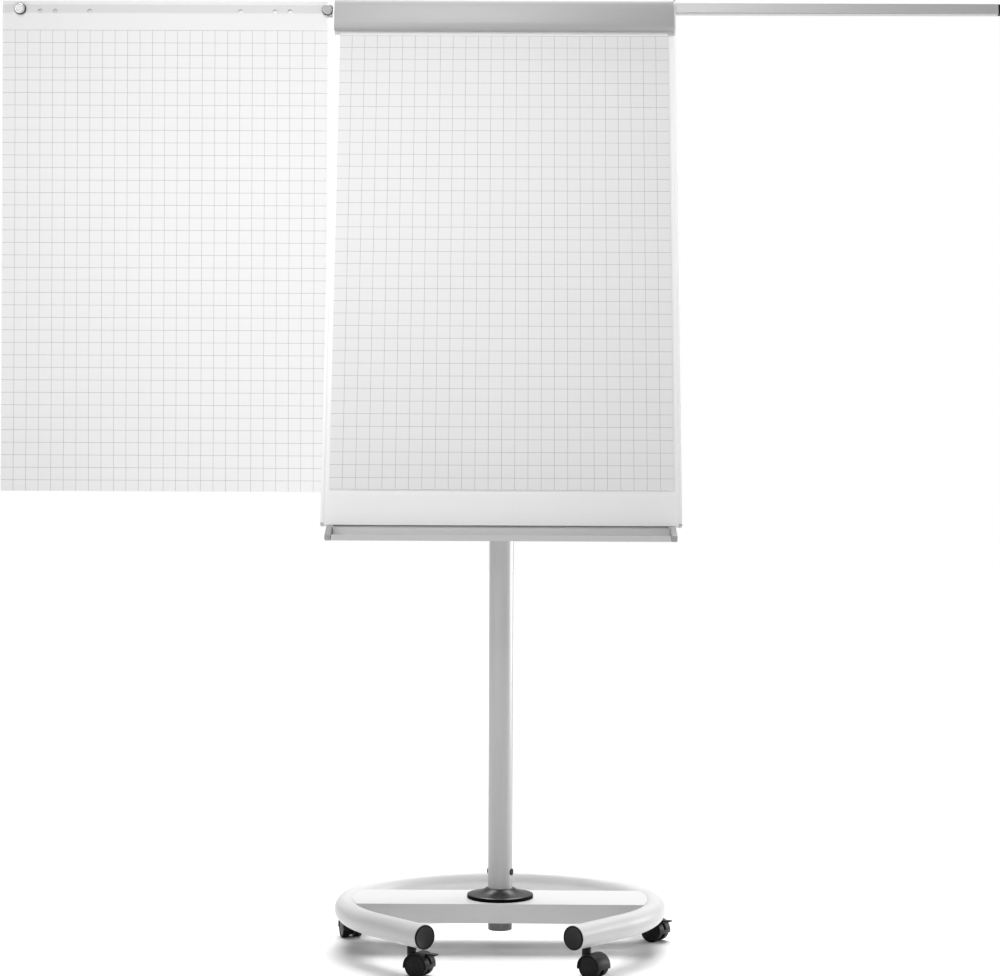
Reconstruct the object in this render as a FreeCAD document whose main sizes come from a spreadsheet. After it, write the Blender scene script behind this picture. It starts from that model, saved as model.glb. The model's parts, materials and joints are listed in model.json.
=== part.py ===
"""Mobile flipchart easel: castor base, telescopic pole, tilting magnetic board, two side arms."""
import FreeCAD, Part
import os
import re
import Sketcher

Vector = FreeCAD.Vector
Rotation = FreeCAD.Rotation

document = FreeCAD.newDocument("FlipchartEasel")
sheet = document.addObject("Spreadsheet::Sheet", "Sizes")

# ---------------------------------------------------------------------------
# Driving dimensions (millimetres, degrees)
# Floor is Z = 0, the pole's axis is X = Y = 0, the board faces -Y.
# ---------------------------------------------------------------------------
DRIVING_SIZES = {
    # open ring of bent tube
    "ring_bend_radius": 302.0, "ring_tube_radius": 22.5, "ring_tube_wall": 2.5,
    "ring_axis_height": 76.5, "ring_arc_start": 50.0, "ring_straight_end": 147.0,
    "ring_cap_plate": 3.0, "ring_cap_plug": 18.0,
    # cross bar through the middle of the ring
    "bar_width": 154.0, "bar_top_inset": 3.6, "bar_bottom_inset": 4.4, "bar_wall": 2.5,
    "weld_gap": 0.6,
    # pole
    "pole_radius": 24.0, "pole_wall": 2.5, "pole_top_height": 1120.0,
    "spigot_wall": 4.0, "spigot_top_height": 190.0, "foot_nut_radius": 23.5, "foot_nut_bottom": 32.5,
    "foot_nut_bore": 10.0, "flange_radius": 64.7, "flange_rim": 6.0, "flange_rise": 19.0,
    "flange_step": 4.0, "flange_collar_radius": 27.0,
    "cross_bolt_radius": 4.0, "cross_bolt_height": 146.5, "cross_bolt_turn": -22.0,
    "bolt_end_gap": 4.0,
    "bolt_plug_radius": 6.5, "bolt_plug_head": 1.4,
    "inner_pole_radius": 20.0, "inner_pole_wall": 2.5, "inner_pole_length": 590.0, "bush_length": 70.0,
    "collar_radius": 31.0, "collar_length": 40.0, "collar_overlap": 34.0,
    "knob_radius": 22.0, "knob_length": 18.0, "knob_stem_radius": 4.0,
    "boss_proud": 4.0, "knob_gap": 4.3,
    # running and fitting clearances
    "running_gap": 0.05, "slide_gap": 0.3, "face_gap": 0.1, "bond_gap": 0.02,
    # castors
    "castor_front_place": 109.4, "castor_side_angle": 12.6,
    "castor_front_left_turn": 335.0, "castor_front_right_turn": 325.0, "castor_right_turn": 325.0,
    "castor_left_turn": 107.0, "castor_rear_turn": 140.0,
    "wheel_radius": 21.0, "wheel_inner_face": 5.0, "wheel_outer_face": 19.5, "castor_trail": 16.0,
    "axle_radius": 3.0, "hood_radius": 24.0, "hood_thickness": 1.8, "hood_half_width": 20.0,
    "web_half_width": 4.0, "web_radius": 17.0, "neck_radius": 8.5, "stem_radius": 5.0,
    "stem_insert": 20.0, "socket_wall": 1.6, "socket_flange": 2.5, "hood_skirt": 4.0,
    "brake_half_width": 7.0, "brake_reach": 36.0, "brake_thickness": 3.0,
    "brake_root": 14.5, "brake_tongue_depth": 5.5, "brake_tongue_foot": 16.0, "brake_rise": 20.0,
    "slot_start": 12.5, "rib_end": 12.0, "slot_cheek": 0.4,
    # tilt joint
    "hinge_height": 1366.0, "board_tilt": 13.5, "hinge_pin_radius": 6.0, "head_half_width": 20.0,
    "head_drop": 50.0, "head_radius": 18.0, "head_plug_length": 40.0, "head_seat_height": 14.0,
    "head_seat_proud": 3.0, "ear_thickness": 4.0,
    "ear_half_height": 32.0, "bracket_plate": 3.0, "bracket_half_width": 60.0,
    "bracket_half_height": 85.0, "tilt_knob_radius": 24.0, "tilt_knob_length": 22.0,
    "pin_head": 4.0, "pin_head_radius": 10.0, "pin_thread": 16.0,
    "bracket_screw_radius": 3.0, "bracket_screw_head_radius": 6.0, "bracket_screw_head": 2.5,
    "bracket_screw_bite": 8.0, "bracket_screw_inset": 15.0,
    # board: distances from the hinge pin, along and square to the board
    "face_offset": 65.0, "panel_width": 668.0, "panel_top": 505.0, "panel_bottom": 568.0,
    "steel_thickness": 0.8, "core_thickness": 11.2, "edge_profile_width": 6.0,
    "edge_profile_lip": 1.2, "corner_size": 4.0,
    # pad
    "pad_width": 650.0, "pad_height": 980.0, "pad_thickness": 5.0, "pad_top": 480.0,
    "pad_hole_radius": 4.75, "pad_hole_drop": 20.0,
    "pad_hole_inner": 151.0, "pad_hole_middle": 220.0, "pad_hole_outer": 250.0,
    "hook_radius": 3.5, "hook_length": 10.0,
    # clamp bar over the pad's top edge
    "clamp_top": 499.0, "clamp_bottom": 433.5, "clamp_bulge": 15.0,
    "clamp_wall": 2.5, "clamp_ear_half_width": 8.0, "clamp_ear_inset": 16.0,
    "clamp_ear_depth": 4.0, "clamp_ear_gap": 0.8,
    # pen tray
    "tray_inset": 18.0, "tray_cap": 12.0, "tray_depth": 52.0, "tray_wall": 2.0,
    "tray_lip": 11.0, "tray_drop": 27.5, "tray_flange": 30.0, "tray_setback": 8.0,
    "tray_top_gap": 0.6, "tray_cap_shoulder": 14.0, "tray_cap_proud": 1.0,
    # side arms and their rail
    "arm_length": 690.0, "arm_reach": 990.0, "arm_height": 20.0, "arm_depth": 14.0, "arm_wall": 1.6,
    "arm_axis": 493.0, "arm_pitch": 15.0, "arm_groove": 2.0, "arm_groove_width": 3.0,
    "front_groove_place": 2.5, "rear_groove_place": 7.0,
    "arm_cap": 6.0, "rail_wall": 1.5, "rail_gap": 0.4, "rail_ridge": 6.5,
    # hanging sheet and magnets
    "sheet_right_edge": 353.0, "sheet_thickness": 0.4, "sheet_top_height": 1869.4,
    "magnet_radius": 10.2, "magnet_base_radius": 11.5, "magnet_cap": 5.5, "magnet_base": 2.5,
    "magnet_height": 1853.5, "magnet_right": 353.0, "magnet_left": 968.0,
}

for row, (alias, value) in enumerate(DRIVING_SIZES.items(), start=1):
    sheet.set("A%d" % row, alias.replace("_", " "))
    sheet.set("B%d" % row, "%g" % value)
    sheet.setAlias("B%d" % row, alias)

# Sizes worked out once from the driving ones and used by several sub-parts.
DERIVED_SIZES = {
    "ring_cap_radius": "ring_tube_radius",
    "bar_top_height": "ring_axis_height + ring_tube_radius - bar_top_inset",
    "bar_bottom_height": "ring_axis_height - ring_tube_radius + bar_bottom_inset",
    "bar_height": "bar_top_height - bar_bottom_height",
    "spigot_radius": "pole_radius - pole_wall - face_gap",
    "castor_top_height": "ring_axis_height - ring_tube_radius",
    "socket_face_height": "castor_top_height - socket_flange",
    "castor_front_x": "ring_bend_radius * sin(ring_arc_start) - castor_front_place * cos(ring_arc_start)",
    "castor_front_y": "ring_bend_radius * cos(ring_arc_start) + castor_front_place * sin(ring_arc_start)",
    "castor_side_x": "ring_bend_radius * cos(castor_side_angle)",
    "castor_side_y": "ring_bend_radius * sin(castor_side_angle)",
    "core_front": "-face_offset + steel_thickness",
    "core_back": "core_front + core_thickness",
    "ear_inner": "head_half_width + slide_gap",
    "ear_outer": "ear_inner + ear_thickness",
    "rail_front": "core_back + face_gap",
    "front_arm_face": "rail_front + rail_wall + rail_gap",
    "rear_arm_face": "front_arm_face + arm_pitch",
    "arm_low": "arm_axis - arm_height / 2",
    "arm_high": "arm_axis + arm_height / 2",
    "rail_back": "rear_arm_face + arm_depth + rail_gap + rail_wall",
    "sheet_hinge_y": "rear_arm_face * cos(board_tilt) + arm_low * sin(board_tilt)",
    "sheet_face": "sheet_hinge_y - 2 * face_gap",
    "tray_back": "-face_offset + tray_setback",
    "clamp_width": "panel_width",
    "clamp_ear_offset": "panel_width / 2 - clamp_ear_inset",
    "tray_width": "panel_width - 2 * tray_inset",
    "rail_length": "panel_width",
}


def expand(text):
    """Turn every size name in an expression into a reference to its cell."""
    return re.sub(r"[a-z]+(?:_[a-z]+)+", lambda found: "Sizes." + found.group(0), str(text))


for row, (alias, formula) in enumerate(DERIVED_SIZES.items(), start=len(DRIVING_SIZES) + 2):
    cell_formula = re.sub(r"Sizes\.", "", expand(formula))
    sheet.set("A%d" % row, alias.replace("_", " "))
    sheet.set("B%d" % row, "=" + cell_formula)
    sheet.setAlias("B%d" % row, alias)
document.recompute()

SUB_PARTS = []
AXIS_ROTATIONS = {
    "X": Rotation(Vector(0, 1, 0), 90),
    "Y": Rotation(Vector(1, 0, 0), -90),
    "Z": Rotation(),
}


# ---------------------------------------------------------------------------
# Building blocks
# ---------------------------------------------------------------------------
def bind(item, path, text):
    """Bind one property to an expression over the sizes."""
    item.setExpression(path, expand(text))


def move_to(item, corner, rotation=None):
    """Place an item at three expressions, with a fixed rotation."""
    item.Placement = FreeCAD.Placement(Vector(), rotation or Rotation())
    for axis, text in zip("xyz", corner):
        bind(item, "Placement.Base." + axis, text)
    return item


def block(name, low, high):
    """Box between two corners, each given as three expressions."""
    item = document.addObject("Part::Box", name)
    for side, start, end in zip(("Length", "Width", "Height"), low, high):
        bind(item, side, "(%s) - (%s)" % (end, start))
    return move_to(item, low)


def rod(name, radius, length, start, axis="Z"):
    """Cylinder that runs from a point along +X, +Y or +Z."""
    item = document.addObject("Part::Cylinder", name)
    bind(item, "Radius", radius)
    bind(item, "Height", length)
    return move_to(item, start, AXIS_ROTATIONS[axis])


def cone(name, low_radius, high_radius, length, start):
    """Upright cone from a point along +Z."""
    item = document.addObject("Part::Cone", name)
    bind(item, "Radius1", low_radius)
    bind(item, "Radius2", high_radius)
    bind(item, "Height", length)
    return move_to(item, start)


def fuse(name, pieces):
    """Join pieces into one solid."""
    item = document.addObject("Part::MultiFuse", name)
    item.Shapes = pieces
    item.Refine = True
    return item


def cut(name, base, tools):
    """Take one or more tools away from a base."""
    tool = tools[0]
    if len(tools) > 1:
        tool = document.addObject("Part::Compound", name + "_tools")
        tool.Links = tools
    item = document.addObject("Part::Cut", name)
    item.Base = base
    item.Tool = tool
    item.Refine = True
    return item


def group(name, pieces):
    """Keep identical separate solids together under one name."""
    item = document.addObject("Part::Compound", name)
    item.Links = pieces
    return item


def turned(name, item, angle):
    """Turn an item about the pole's axis."""
    holder = group(name, [item])
    holder.Placement = FreeCAD.Placement(Vector(), Rotation(Vector(0, 0, 1), 10))
    bind(holder, "Placement.Rotation.Angle", angle)
    return holder


def tube(name, radius, wall, length, start, axis="Z"):
    """Round tube that runs from a point along an axis."""
    outer = rod(name + "_outside", radius, length, start, axis)
    inner = rod(name + "_bore", "(%s) - (%s)" % (radius, wall), length, start, axis)
    return cut(name, outer, [inner])


def drawn_section(name, points, length):
    """Body padded both ways along X from a closed outline of (Y, Z) expressions."""
    body = document.addObject("PartDesign::Body", name)
    sketch = body.newObject("Sketcher::SketchObject", name + "_outline")
    plane = [item for item in body.Origin.OriginFeatures if item.Role == "YZ_Plane"][0]
    sketch.AttachmentSupport = [(plane, "")]
    sketch.MapMode = "FlatFace"
    draw_outline(sketch, points)
    pad = body.newObject("PartDesign::Pad", name + "_pad")
    pad.Profile = sketch
    pad.Midplane = True
    bind(pad, "Length", length)
    body.Tip = pad
    return body


def draw_outline(sketch, points):
    """Closed polygon whose corners are held by expressions."""
    corners = []
    for across, up in points:
        spot = []
        for text in (across, up):
            sheet.set("D1", "=" + re.sub(r"Sizes\.", "", expand(text)))
            document.recompute([sheet])
            spot.append(float(sheet.get("D1")))
        corners.append(Vector(spot[0], spot[1], 0))
    sheet.clear("D1")
    count = len(corners)
    for index in range(count):
        sketch.addGeometry(Part.LineSegment(corners[index], corners[(index + 1) % count]), False)
    for index in range(count):
        sketch.addConstraint(Sketcher.Constraint("Coincident", index, 2, (index + 1) % count, 1))
    for index, (across, up) in enumerate(points):
        for kind, text, value in (("DistanceX", across, corners[index].x),
                                  ("DistanceY", up, corners[index].y)):
            number = sketch.addConstraint(Sketcher.Constraint(kind, -1, 1, index, 1, value))
            sketch.setExpression("Constraints[%d]" % number, expand(text))


def sub_part(item, label):
    """Give a finished piece its name and put it on the list to export."""
    item.Label = label
    SUB_PARTS.append(item)
    return item


def lean(item):
    """Turn a piece drawn square to the board about the hinge pin to the board's lean."""
    item.Placement = FreeCAD.Placement(Vector(), Rotation(Vector(-1, 0, 0), 10))
    bind(item, "Placement.Base.z", "hinge_height")
    bind(item, "Placement.Rotation.Angle", "board_tilt")
    return item


def board_part(item, label):
    """Finished piece of the board, drawn square to it."""
    return sub_part(lean(item), label)


# ---------------------------------------------------------------------------
# Base: open ring, cross bar, end caps
# ---------------------------------------------------------------------------
def ring_tube(name, radius):
    """Solid rod bent to the ring's centreline, at Z = 0."""
    bend = document.addObject("Part::Torus", name + "_bend")
    bind(bend, "Radius1", "ring_bend_radius")
    bind(bend, "Radius2", radius)
    bind(bend, "Angle3", "360 - 2 * ring_arc_start")
    bend.Placement = FreeCAD.Placement(Vector(), Rotation(Vector(0, 0, 1), 10))
    bind(bend, "Placement.Rotation.Angle", "270 + ring_arc_start")
    ends = []
    for side, direction, turn in (("right", "-ring_straight_end", 1), ("left", "0", -1)):
        straight = rod(name + "_" + side, radius, "ring_straight_end",
                       (direction, "-ring_bend_radius", 0), "X")
        holder = document.addObject("Part::Compound", name + "_" + side + "_end")
        holder.Links = [straight]
        holder.Placement = FreeCAD.Placement(Vector(), Rotation(Vector(0, 0, turn), 10))
        bind(holder, "Placement.Rotation.Angle", "ring_arc_start")
        ends.append(holder)
    return fuse(name, [bend] + ends)


STATIONS = {
    "front_left": ("-castor_front_x", "-castor_front_y", "castor_front_left_turn", True),
    "front_right": ("castor_front_x", "-castor_front_y", "castor_front_right_turn", False),
    "right": ("castor_side_x", "castor_side_y", "castor_right_turn", True),
    "left": ("-castor_side_x", "castor_side_y", "castor_left_turn", False),
    "rear": ("0", "ring_bend_radius", "castor_rear_turn", False),
}


def build_ring():
    """Bent steel tube with five holes for the castor sockets."""
    holes = []
    for station, (across, depth, _, _) in STATIONS.items():
        holes.append(rod("socket_hole_" + station, "stem_radius + socket_wall + slide_gap",
                         "2 * ring_tube_radius", (across, depth, "-2 * ring_tube_radius")))
    ring = cut("ring", ring_tube("ring_outside", "ring_tube_radius"),
               [ring_tube("ring_bore", "ring_tube_radius - ring_tube_wall")] + holes)
    bind(ring, "Placement.Base.z", "ring_axis_height")
    sub_part(ring, "base_ring")


def build_ring_caps():
    """Round plastic plugs in the two cut ends of the ring."""
    for side, turn in (("right", 1), ("left", -1)):
        outward = "ring_straight_end + face_gap"
        start = "-(%s) - ring_cap_plate" % outward if turn > 0 else outward
        plug_start = "-ring_straight_end" if turn > 0 else "ring_straight_end - ring_cap_plug"
        plate = rod("cap_plate_" + side, "ring_cap_radius", "ring_cap_plate",
                    (start, "-ring_bend_radius", 0), "X")
        plug_low = "-(%s)" % outward if turn > 0 else plug_start
        plug = rod("cap_plug_" + side, "ring_tube_radius - ring_tube_wall - face_gap",
                   "ring_cap_plug + face_gap", (plug_low, "-ring_bend_radius", 0), "X")
        cap = fuse("ring_cap_" + side, [plate, plug])
        cap.Placement = FreeCAD.Placement(Vector(), Rotation(Vector(0, 0, turn), 10))
        bind(cap, "Placement.Rotation.Angle", "ring_arc_start")
        bind(cap, "Placement.Base.z", "ring_axis_height")
        sub_part(cap, "ring_end_cap_" + side)


def build_cross_bar():
    """Rectangular tube coped at both ends to the ring, with a hole for the spigot."""
    outside = block("bar_outside", ("-ring_bend_radius", "-bar_width / 2", "bar_bottom_height"),
                    ("ring_bend_radius", "bar_width / 2", "bar_top_height"))
    inside = block("bar_inside",
                   ("-ring_bend_radius", "-bar_width / 2 + bar_wall", "bar_bottom_height + bar_wall"),
                   ("ring_bend_radius", "bar_width / 2 - bar_wall", "bar_top_height - bar_wall"))
    cope = document.addObject("Part::Torus", "bar_cope")
    bind(cope, "Radius1", "ring_bend_radius")
    bind(cope, "Radius2", "ring_tube_radius + weld_gap")
    move_to(cope, (0, 0, "ring_axis_height"))
    hole = rod("bar_hole", "spigot_radius + face_gap", "2 * bar_height",
               (0, 0, "bar_bottom_height - bar_height / 2"))
    sub_part(cut("bar", outside, [inside, cope, hole]), "base_cross_bar")


def build_pole_foot():
    """Spigot, foot nut, flange cover and the bolt that crosses pole and spigot."""
    bolt_hole = rod("spigot_bolt_hole", "cross_bolt_radius + face_gap", "4 * pole_radius",
                    ("-2 * pole_radius", 0, "cross_bolt_height"), "X")
    bolt_hole = turned("spigot_bolt_hole_turned", bolt_hole, "cross_bolt_turn")
    spigot = tube("spigot_tube", "spigot_radius", "spigot_wall", "spigot_top_height - bar_bottom_height",
                  (0, 0, "bar_bottom_height"))
    sub_part(cut("spigot", spigot, [bolt_hole]), "pole_spigot")

    nut = rod("nut_body", "foot_nut_radius", "bar_bottom_height - face_gap - foot_nut_bottom",
              (0, 0, "foot_nut_bottom"))
    nut_bore = rod("nut_bore", "foot_nut_bore", "bar_height", (0, 0, "foot_nut_bottom - face_gap"))
    sub_part(cut("nut", nut, [nut_bore]), "foot_nut")

    rim = rod("flange_rim_disc", "flange_radius", "flange_rim", (0, 0, "bar_top_height + face_gap"))
    dome = cone("flange_dome", "flange_radius - flange_step", "flange_collar_radius",
                "flange_rise - flange_rim", (0, 0, "bar_top_height + face_gap + flange_rim"))
    bore = rod("flange_bore", "pole_radius + slide_gap", "2 * flange_rise", (0, 0, "bar_top_height"))
    sub_part(cut("flange", fuse("flange_body", [rim, dome]), [bore]), "flange_cover")

    bolt = rod("bolt", "cross_bolt_radius", "2 * (pole_radius - bolt_end_gap)",
               ("bolt_end_gap - pole_radius", 0, "cross_bolt_height"), "X")
    sub_part(turned("bolt_turned", bolt, "cross_bolt_turn"), "pole_cross_bolt")
    plugs = []
    for side, start in (("right", "pole_radius - pole_wall"), ("left", "-pole_radius - bolt_plug_head")):
        plugs.append(rod("plug_" + side, "bolt_plug_radius", "bolt_plug_head + pole_wall",
                         (start, 0, "cross_bolt_height"), "X"))
    sub_part(turned("plugs_turned", group("plugs", plugs), "cross_bolt_turn"), "cross_bolt_plugs")


# ---------------------------------------------------------------------------
# Pole: outer tube, bush, clamp collar with knob, inner tube, tilt head
# ---------------------------------------------------------------------------
def build_outer_pole():
    """Outer tube that stands on the bar, with the holes for bolt plugs and clamp knob."""
    outside = tube("outer_pole_tube", "pole_radius", "pole_wall",
                   "pole_top_height - bar_top_height - face_gap", (0, 0, "bar_top_height + face_gap"))
    plug_hole = rod("plug_hole", "bolt_plug_radius + face_gap", "4 * pole_radius",
                    ("-2 * pole_radius", 0, "cross_bolt_height"), "X")
    plug_hole = turned("plug_hole_turned", plug_hole, "cross_bolt_turn")
    knob_hole = rod("pole_knob_hole", "knob_stem_radius + slide_gap", "2 * pole_radius",
                    (0, 0, "pole_top_height - collar_overlap / 2"), "Y")
    sub_part(cut("outer_pole_body", outside, [plug_hole, knob_hole]), "outer_pole")


def build_bush_and_collar():
    """Plastic guide bush inside the pole's mouth and the clamp collar round it."""
    bush = tube("bush_sleeve", "pole_radius - pole_wall - face_gap",
                "pole_radius - pole_wall - face_gap - inner_pole_radius - running_gap", "bush_length",
                (0, 0, "pole_top_height - bush_length"))
    bush_hole = rod("bush_knob_hole", "knob_stem_radius + slide_gap", "2 * pole_radius",
                    (0, 0, "pole_top_height - collar_overlap / 2"), "Y")
    sub_part(cut("bush", bush, [bush_hole]), "guide_bush")

    low = "pole_top_height - collar_overlap"
    ring = tube("collar_ring", "collar_radius", "collar_radius - pole_radius - face_gap",
                "collar_overlap", (0, 0, low))
    crown = tube("collar_crown", "collar_radius", "collar_radius - inner_pole_radius - slide_gap",
                 "collar_length - collar_overlap", (0, 0, "pole_top_height + face_gap"))
    boss = rod("collar_boss", "knob_radius / 2", "collar_radius",
               (0, "boss_proud", "pole_top_height - collar_overlap / 2"), "Y")
    boss_clear = rod("collar_clear", "pole_radius + face_gap", "4 * collar_length",
                     (0, 0, "pole_top_height - 2 * collar_length"))
    boss_ring = cut("collar_boss_cut", boss, [boss_clear])
    knob_hole = rod("collar_knob_hole", "knob_stem_radius + running_gap", "2 * collar_radius",
                    (0, 0, "pole_top_height - collar_overlap / 2"), "Y")
    link = tube("collar_link", "collar_radius", "collar_radius - pole_radius - 3 * slide_gap",
                "2 * face_gap", (0, 0, "pole_top_height - face_gap / 2"))
    sub_part(cut("collar", fuse("collar_body", [ring, link, crown, boss_ring]), [knob_hole]), "clamp_collar")


def star_knob(name, radius, length, start, axis, lobes=6):
    """Round grip knob with scallops round its rim."""
    grip = rod(name + "_grip", radius, length, start, axis)
    scallops = []
    for index in range(lobes):
        angle = 360.0 * index / lobes
        across = "1.18 * (%s) * cos(%g)" % (radius, angle)
        up = "1.18 * (%s) * sin(%g)" % (radius, angle)
        x_text, y_text, z_text = start
        if axis == "X":
            spot = (x_text, "(%s) + %s" % (y_text, across), "(%s) + %s" % (z_text, up))
        else:
            spot = ("(%s) + %s" % (x_text, across), y_text, "(%s) + %s" % (z_text, up))
        scallops.append(rod("%s_scallop_%d" % (name, index), "0.36 * (%s)" % radius, length, spot, axis))
    return cut(name + "_star", grip, scallops)


def build_height_knob():
    """Star knob whose screw presses on the inner tube."""
    height = "pole_top_height - collar_overlap / 2"
    grip = star_knob("height_knob", "knob_radius", "knob_length",
                     (0, "collar_radius + knob_gap", height), "Y")
    reach = "collar_radius + knob_gap + boss_proud - inner_pole_radius - slide_gap"
    stem = rod("height_knob_stem", "knob_stem_radius", reach,
               (0, "inner_pole_radius + slide_gap", height), "Y")
    sub_part(fuse("height_knob_whole", [grip, stem]), "height_clamp_knob")


def build_inner_pole():
    """Telescopic inner tube and the head that carries the hinge pin."""
    top = "hinge_height - head_drop"
    sub_part(tube("inner_pole_tube", "inner_pole_radius", "inner_pole_wall", "inner_pole_length",
                  (0, 0, "%s - inner_pole_length" % top)), "inner_pole")
    plug = rod("head_plug", "inner_pole_radius - inner_pole_wall - face_gap", "head_plug_length",
               (0, 0, "%s - head_plug_length" % top))
    seat = rod("head_seat", "inner_pole_radius + head_seat_proud", "head_seat_height",
               (0, 0, "%s + face_gap" % top))
    tongue = block("head_tongue", ("-head_half_width", "-head_radius", "%s + head_seat_height / 2" % top),
                   ("head_half_width", "head_radius", "hinge_height"))
    crown = rod("head_crown", "head_radius", "2 * head_half_width", ("-head_half_width", 0, "hinge_height"),
                "X")
    plug_link = rod("head_link", "inner_pole_radius - inner_pole_wall - face_gap", "head_seat_height / 2",
                    (0, 0, "%s - head_seat_height / 4" % top))
    bore = rod("head_bore", "hinge_pin_radius + running_gap", "4 * head_half_width",
               ("-2 * head_half_width", 0, "hinge_height"), "X")
    sub_part(cut("head", fuse("head_body", [plug, plug_link, seat, tongue, crown]), [bore]), "tilt_head")


# ---------------------------------------------------------------------------
# Castors: drawn with the stem on Z, trailing along +X, standing on Z = 0
# ---------------------------------------------------------------------------
def place_castor(item, station):
    """Stand a castor piece at its station, turned about its stem."""
    across, depth, turn, _ = STATIONS[station]
    item.Placement = FreeCAD.Placement(Vector(), Rotation(Vector(0, 0, 1), 10))
    bind(item, "Placement.Base.x", across)
    bind(item, "Placement.Base.y", depth)
    bind(item, "Placement.Rotation.Angle", turn)
    return item


def build_castor(station):
    """Socket, hooded housing, twin wheel on its axle and, where fitted, the brake lever."""
    braked = STATIONS[station][3]
    name = "castor_" + station

    flange = rod(name + "_socket_flange", "neck_radius", "socket_flange - face_gap",
                 (0, 0, "socket_face_height"))
    sleeve = rod(name + "_sleeve", "stem_radius + socket_wall", "stem_insert", (0, 0, "socket_face_height"))
    bore = rod(name + "_socket_bore", "stem_radius + running_gap", "2 * stem_insert",
               (0, 0, "socket_face_height - stem_insert / 2"))
    socket = cut(name + "_socket_body", fuse(name + "_socket_solid", [flange, sleeve]), [bore])
    sub_part(place_castor(socket, station), "castor_socket_" + station)

    hood = rod(name + "_hood", "hood_radius", "2 * hood_half_width",
               ("castor_trail", "-hood_half_width", "wheel_radius"), "Y")
    neck_top = "socket_face_height - face_gap"
    neck = rod(name + "_neck", "neck_radius", "%s - wheel_radius" % neck_top, (0, 0, "wheel_radius"))
    shell = cut(name + "_shell", fuse(name + "_shell_solid", [hood, neck]), [
        rod(name + "_hood_bore", "hood_radius - hood_thickness", "2 * hood_half_width",
            ("castor_trail", "-hood_half_width", "wheel_radius"), "Y"),
        block(name + "_skirt_cut", ("-hood_radius", "-2 * hood_half_width", "-wheel_radius"),
              ("castor_trail + 2 * hood_radius", "2 * hood_half_width", "wheel_radius - hood_skirt")),
    ])
    web = rod(name + "_web", "web_radius", "2 * web_half_width",
              ("castor_trail", "-web_half_width", "wheel_radius"), "Y")
    rib = block(name + "_rib", ("castor_trail - web_radius", "-web_half_width", "wheel_radius"),
                ("castor_trail + rib_end", "web_half_width", "wheel_radius + web_radius"))
    rib_trim = rod(name + "_rib_trim", "hood_radius - hood_thickness / 2", "2 * web_half_width",
                   ("castor_trail", "-web_half_width", "wheel_radius"), "Y")
    upper = block(name + "_upper",
                  ("castor_trail - hood_radius", "-web_half_width", "wheel_radius + axle_radius"),
                  ("castor_trail + rib_end", "web_half_width", "wheel_radius + hood_radius"))
    spoke = document.addObject("Part::Common", name + "_spoke")
    spoke.Base = rib_trim
    spoke.Tool = upper
    stem = rod(name + "_stem", "stem_radius", "stem_insert - socket_flange",
               (0, 0, "socket_face_height - socket_flange / 2"))
    axle_bore = rod(name + "_axle_bore", "axle_radius + running_gap", "4 * hood_half_width",
                    ("castor_trail", "-2 * hood_half_width", "wheel_radius"), "Y")
    cuts = [axle_bore]
    if braked:
        cuts.append(block(name + "_slot",
                          ("castor_trail + slot_start", "-web_half_width + slot_cheek",
                           "wheel_radius + axle_radius"),
                          ("castor_trail + hood_radius", "web_half_width - slot_cheek", "2 * hood_radius")))
    housing = cut(name + "_housing", fuse(name + "_solid", [shell, web, rib, spoke, stem]), cuts)
    sub_part(place_castor(housing, station), "castor_housing_" + station)

    discs = []
    for side, start in (("a", "wheel_inner_face"), ("b", "-wheel_outer_face")):
        discs.append(rod(name + "_wheel_" + side, "wheel_radius", "wheel_outer_face - wheel_inner_face",
                         ("castor_trail", start, "wheel_radius"), "Y"))
    axle = rod(name + "_axle", "axle_radius", "2 * (wheel_outer_face - axle_radius)",
               ("castor_trail", "axle_radius - wheel_outer_face", "wheel_radius"), "Y")
    sub_part(place_castor(fuse(name + "_wheels", discs + [axle]), station), "castor_wheels_" + station)

    if braked:
        tongue = block(name + "_tongue",
                       ("castor_trail + brake_root", "slot_cheek * 2.5 - web_half_width",
                        "wheel_radius + brake_tongue_foot"),
                       ("castor_trail + brake_root + brake_tongue_depth", "web_half_width - slot_cheek * 2.5",
                        "wheel_radius + brake_rise + brake_thickness / 2"))
        pad = block(name + "_pedal",
                    ("castor_trail + brake_root", "-brake_half_width", "wheel_radius + brake_rise"),
                    ("castor_trail + brake_reach", "brake_half_width",
                     "wheel_radius + brake_rise + brake_thickness"))
        sub_part(place_castor(fuse(name + "_brake", [tongue, pad]), station), "castor_brake_" + station)


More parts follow.
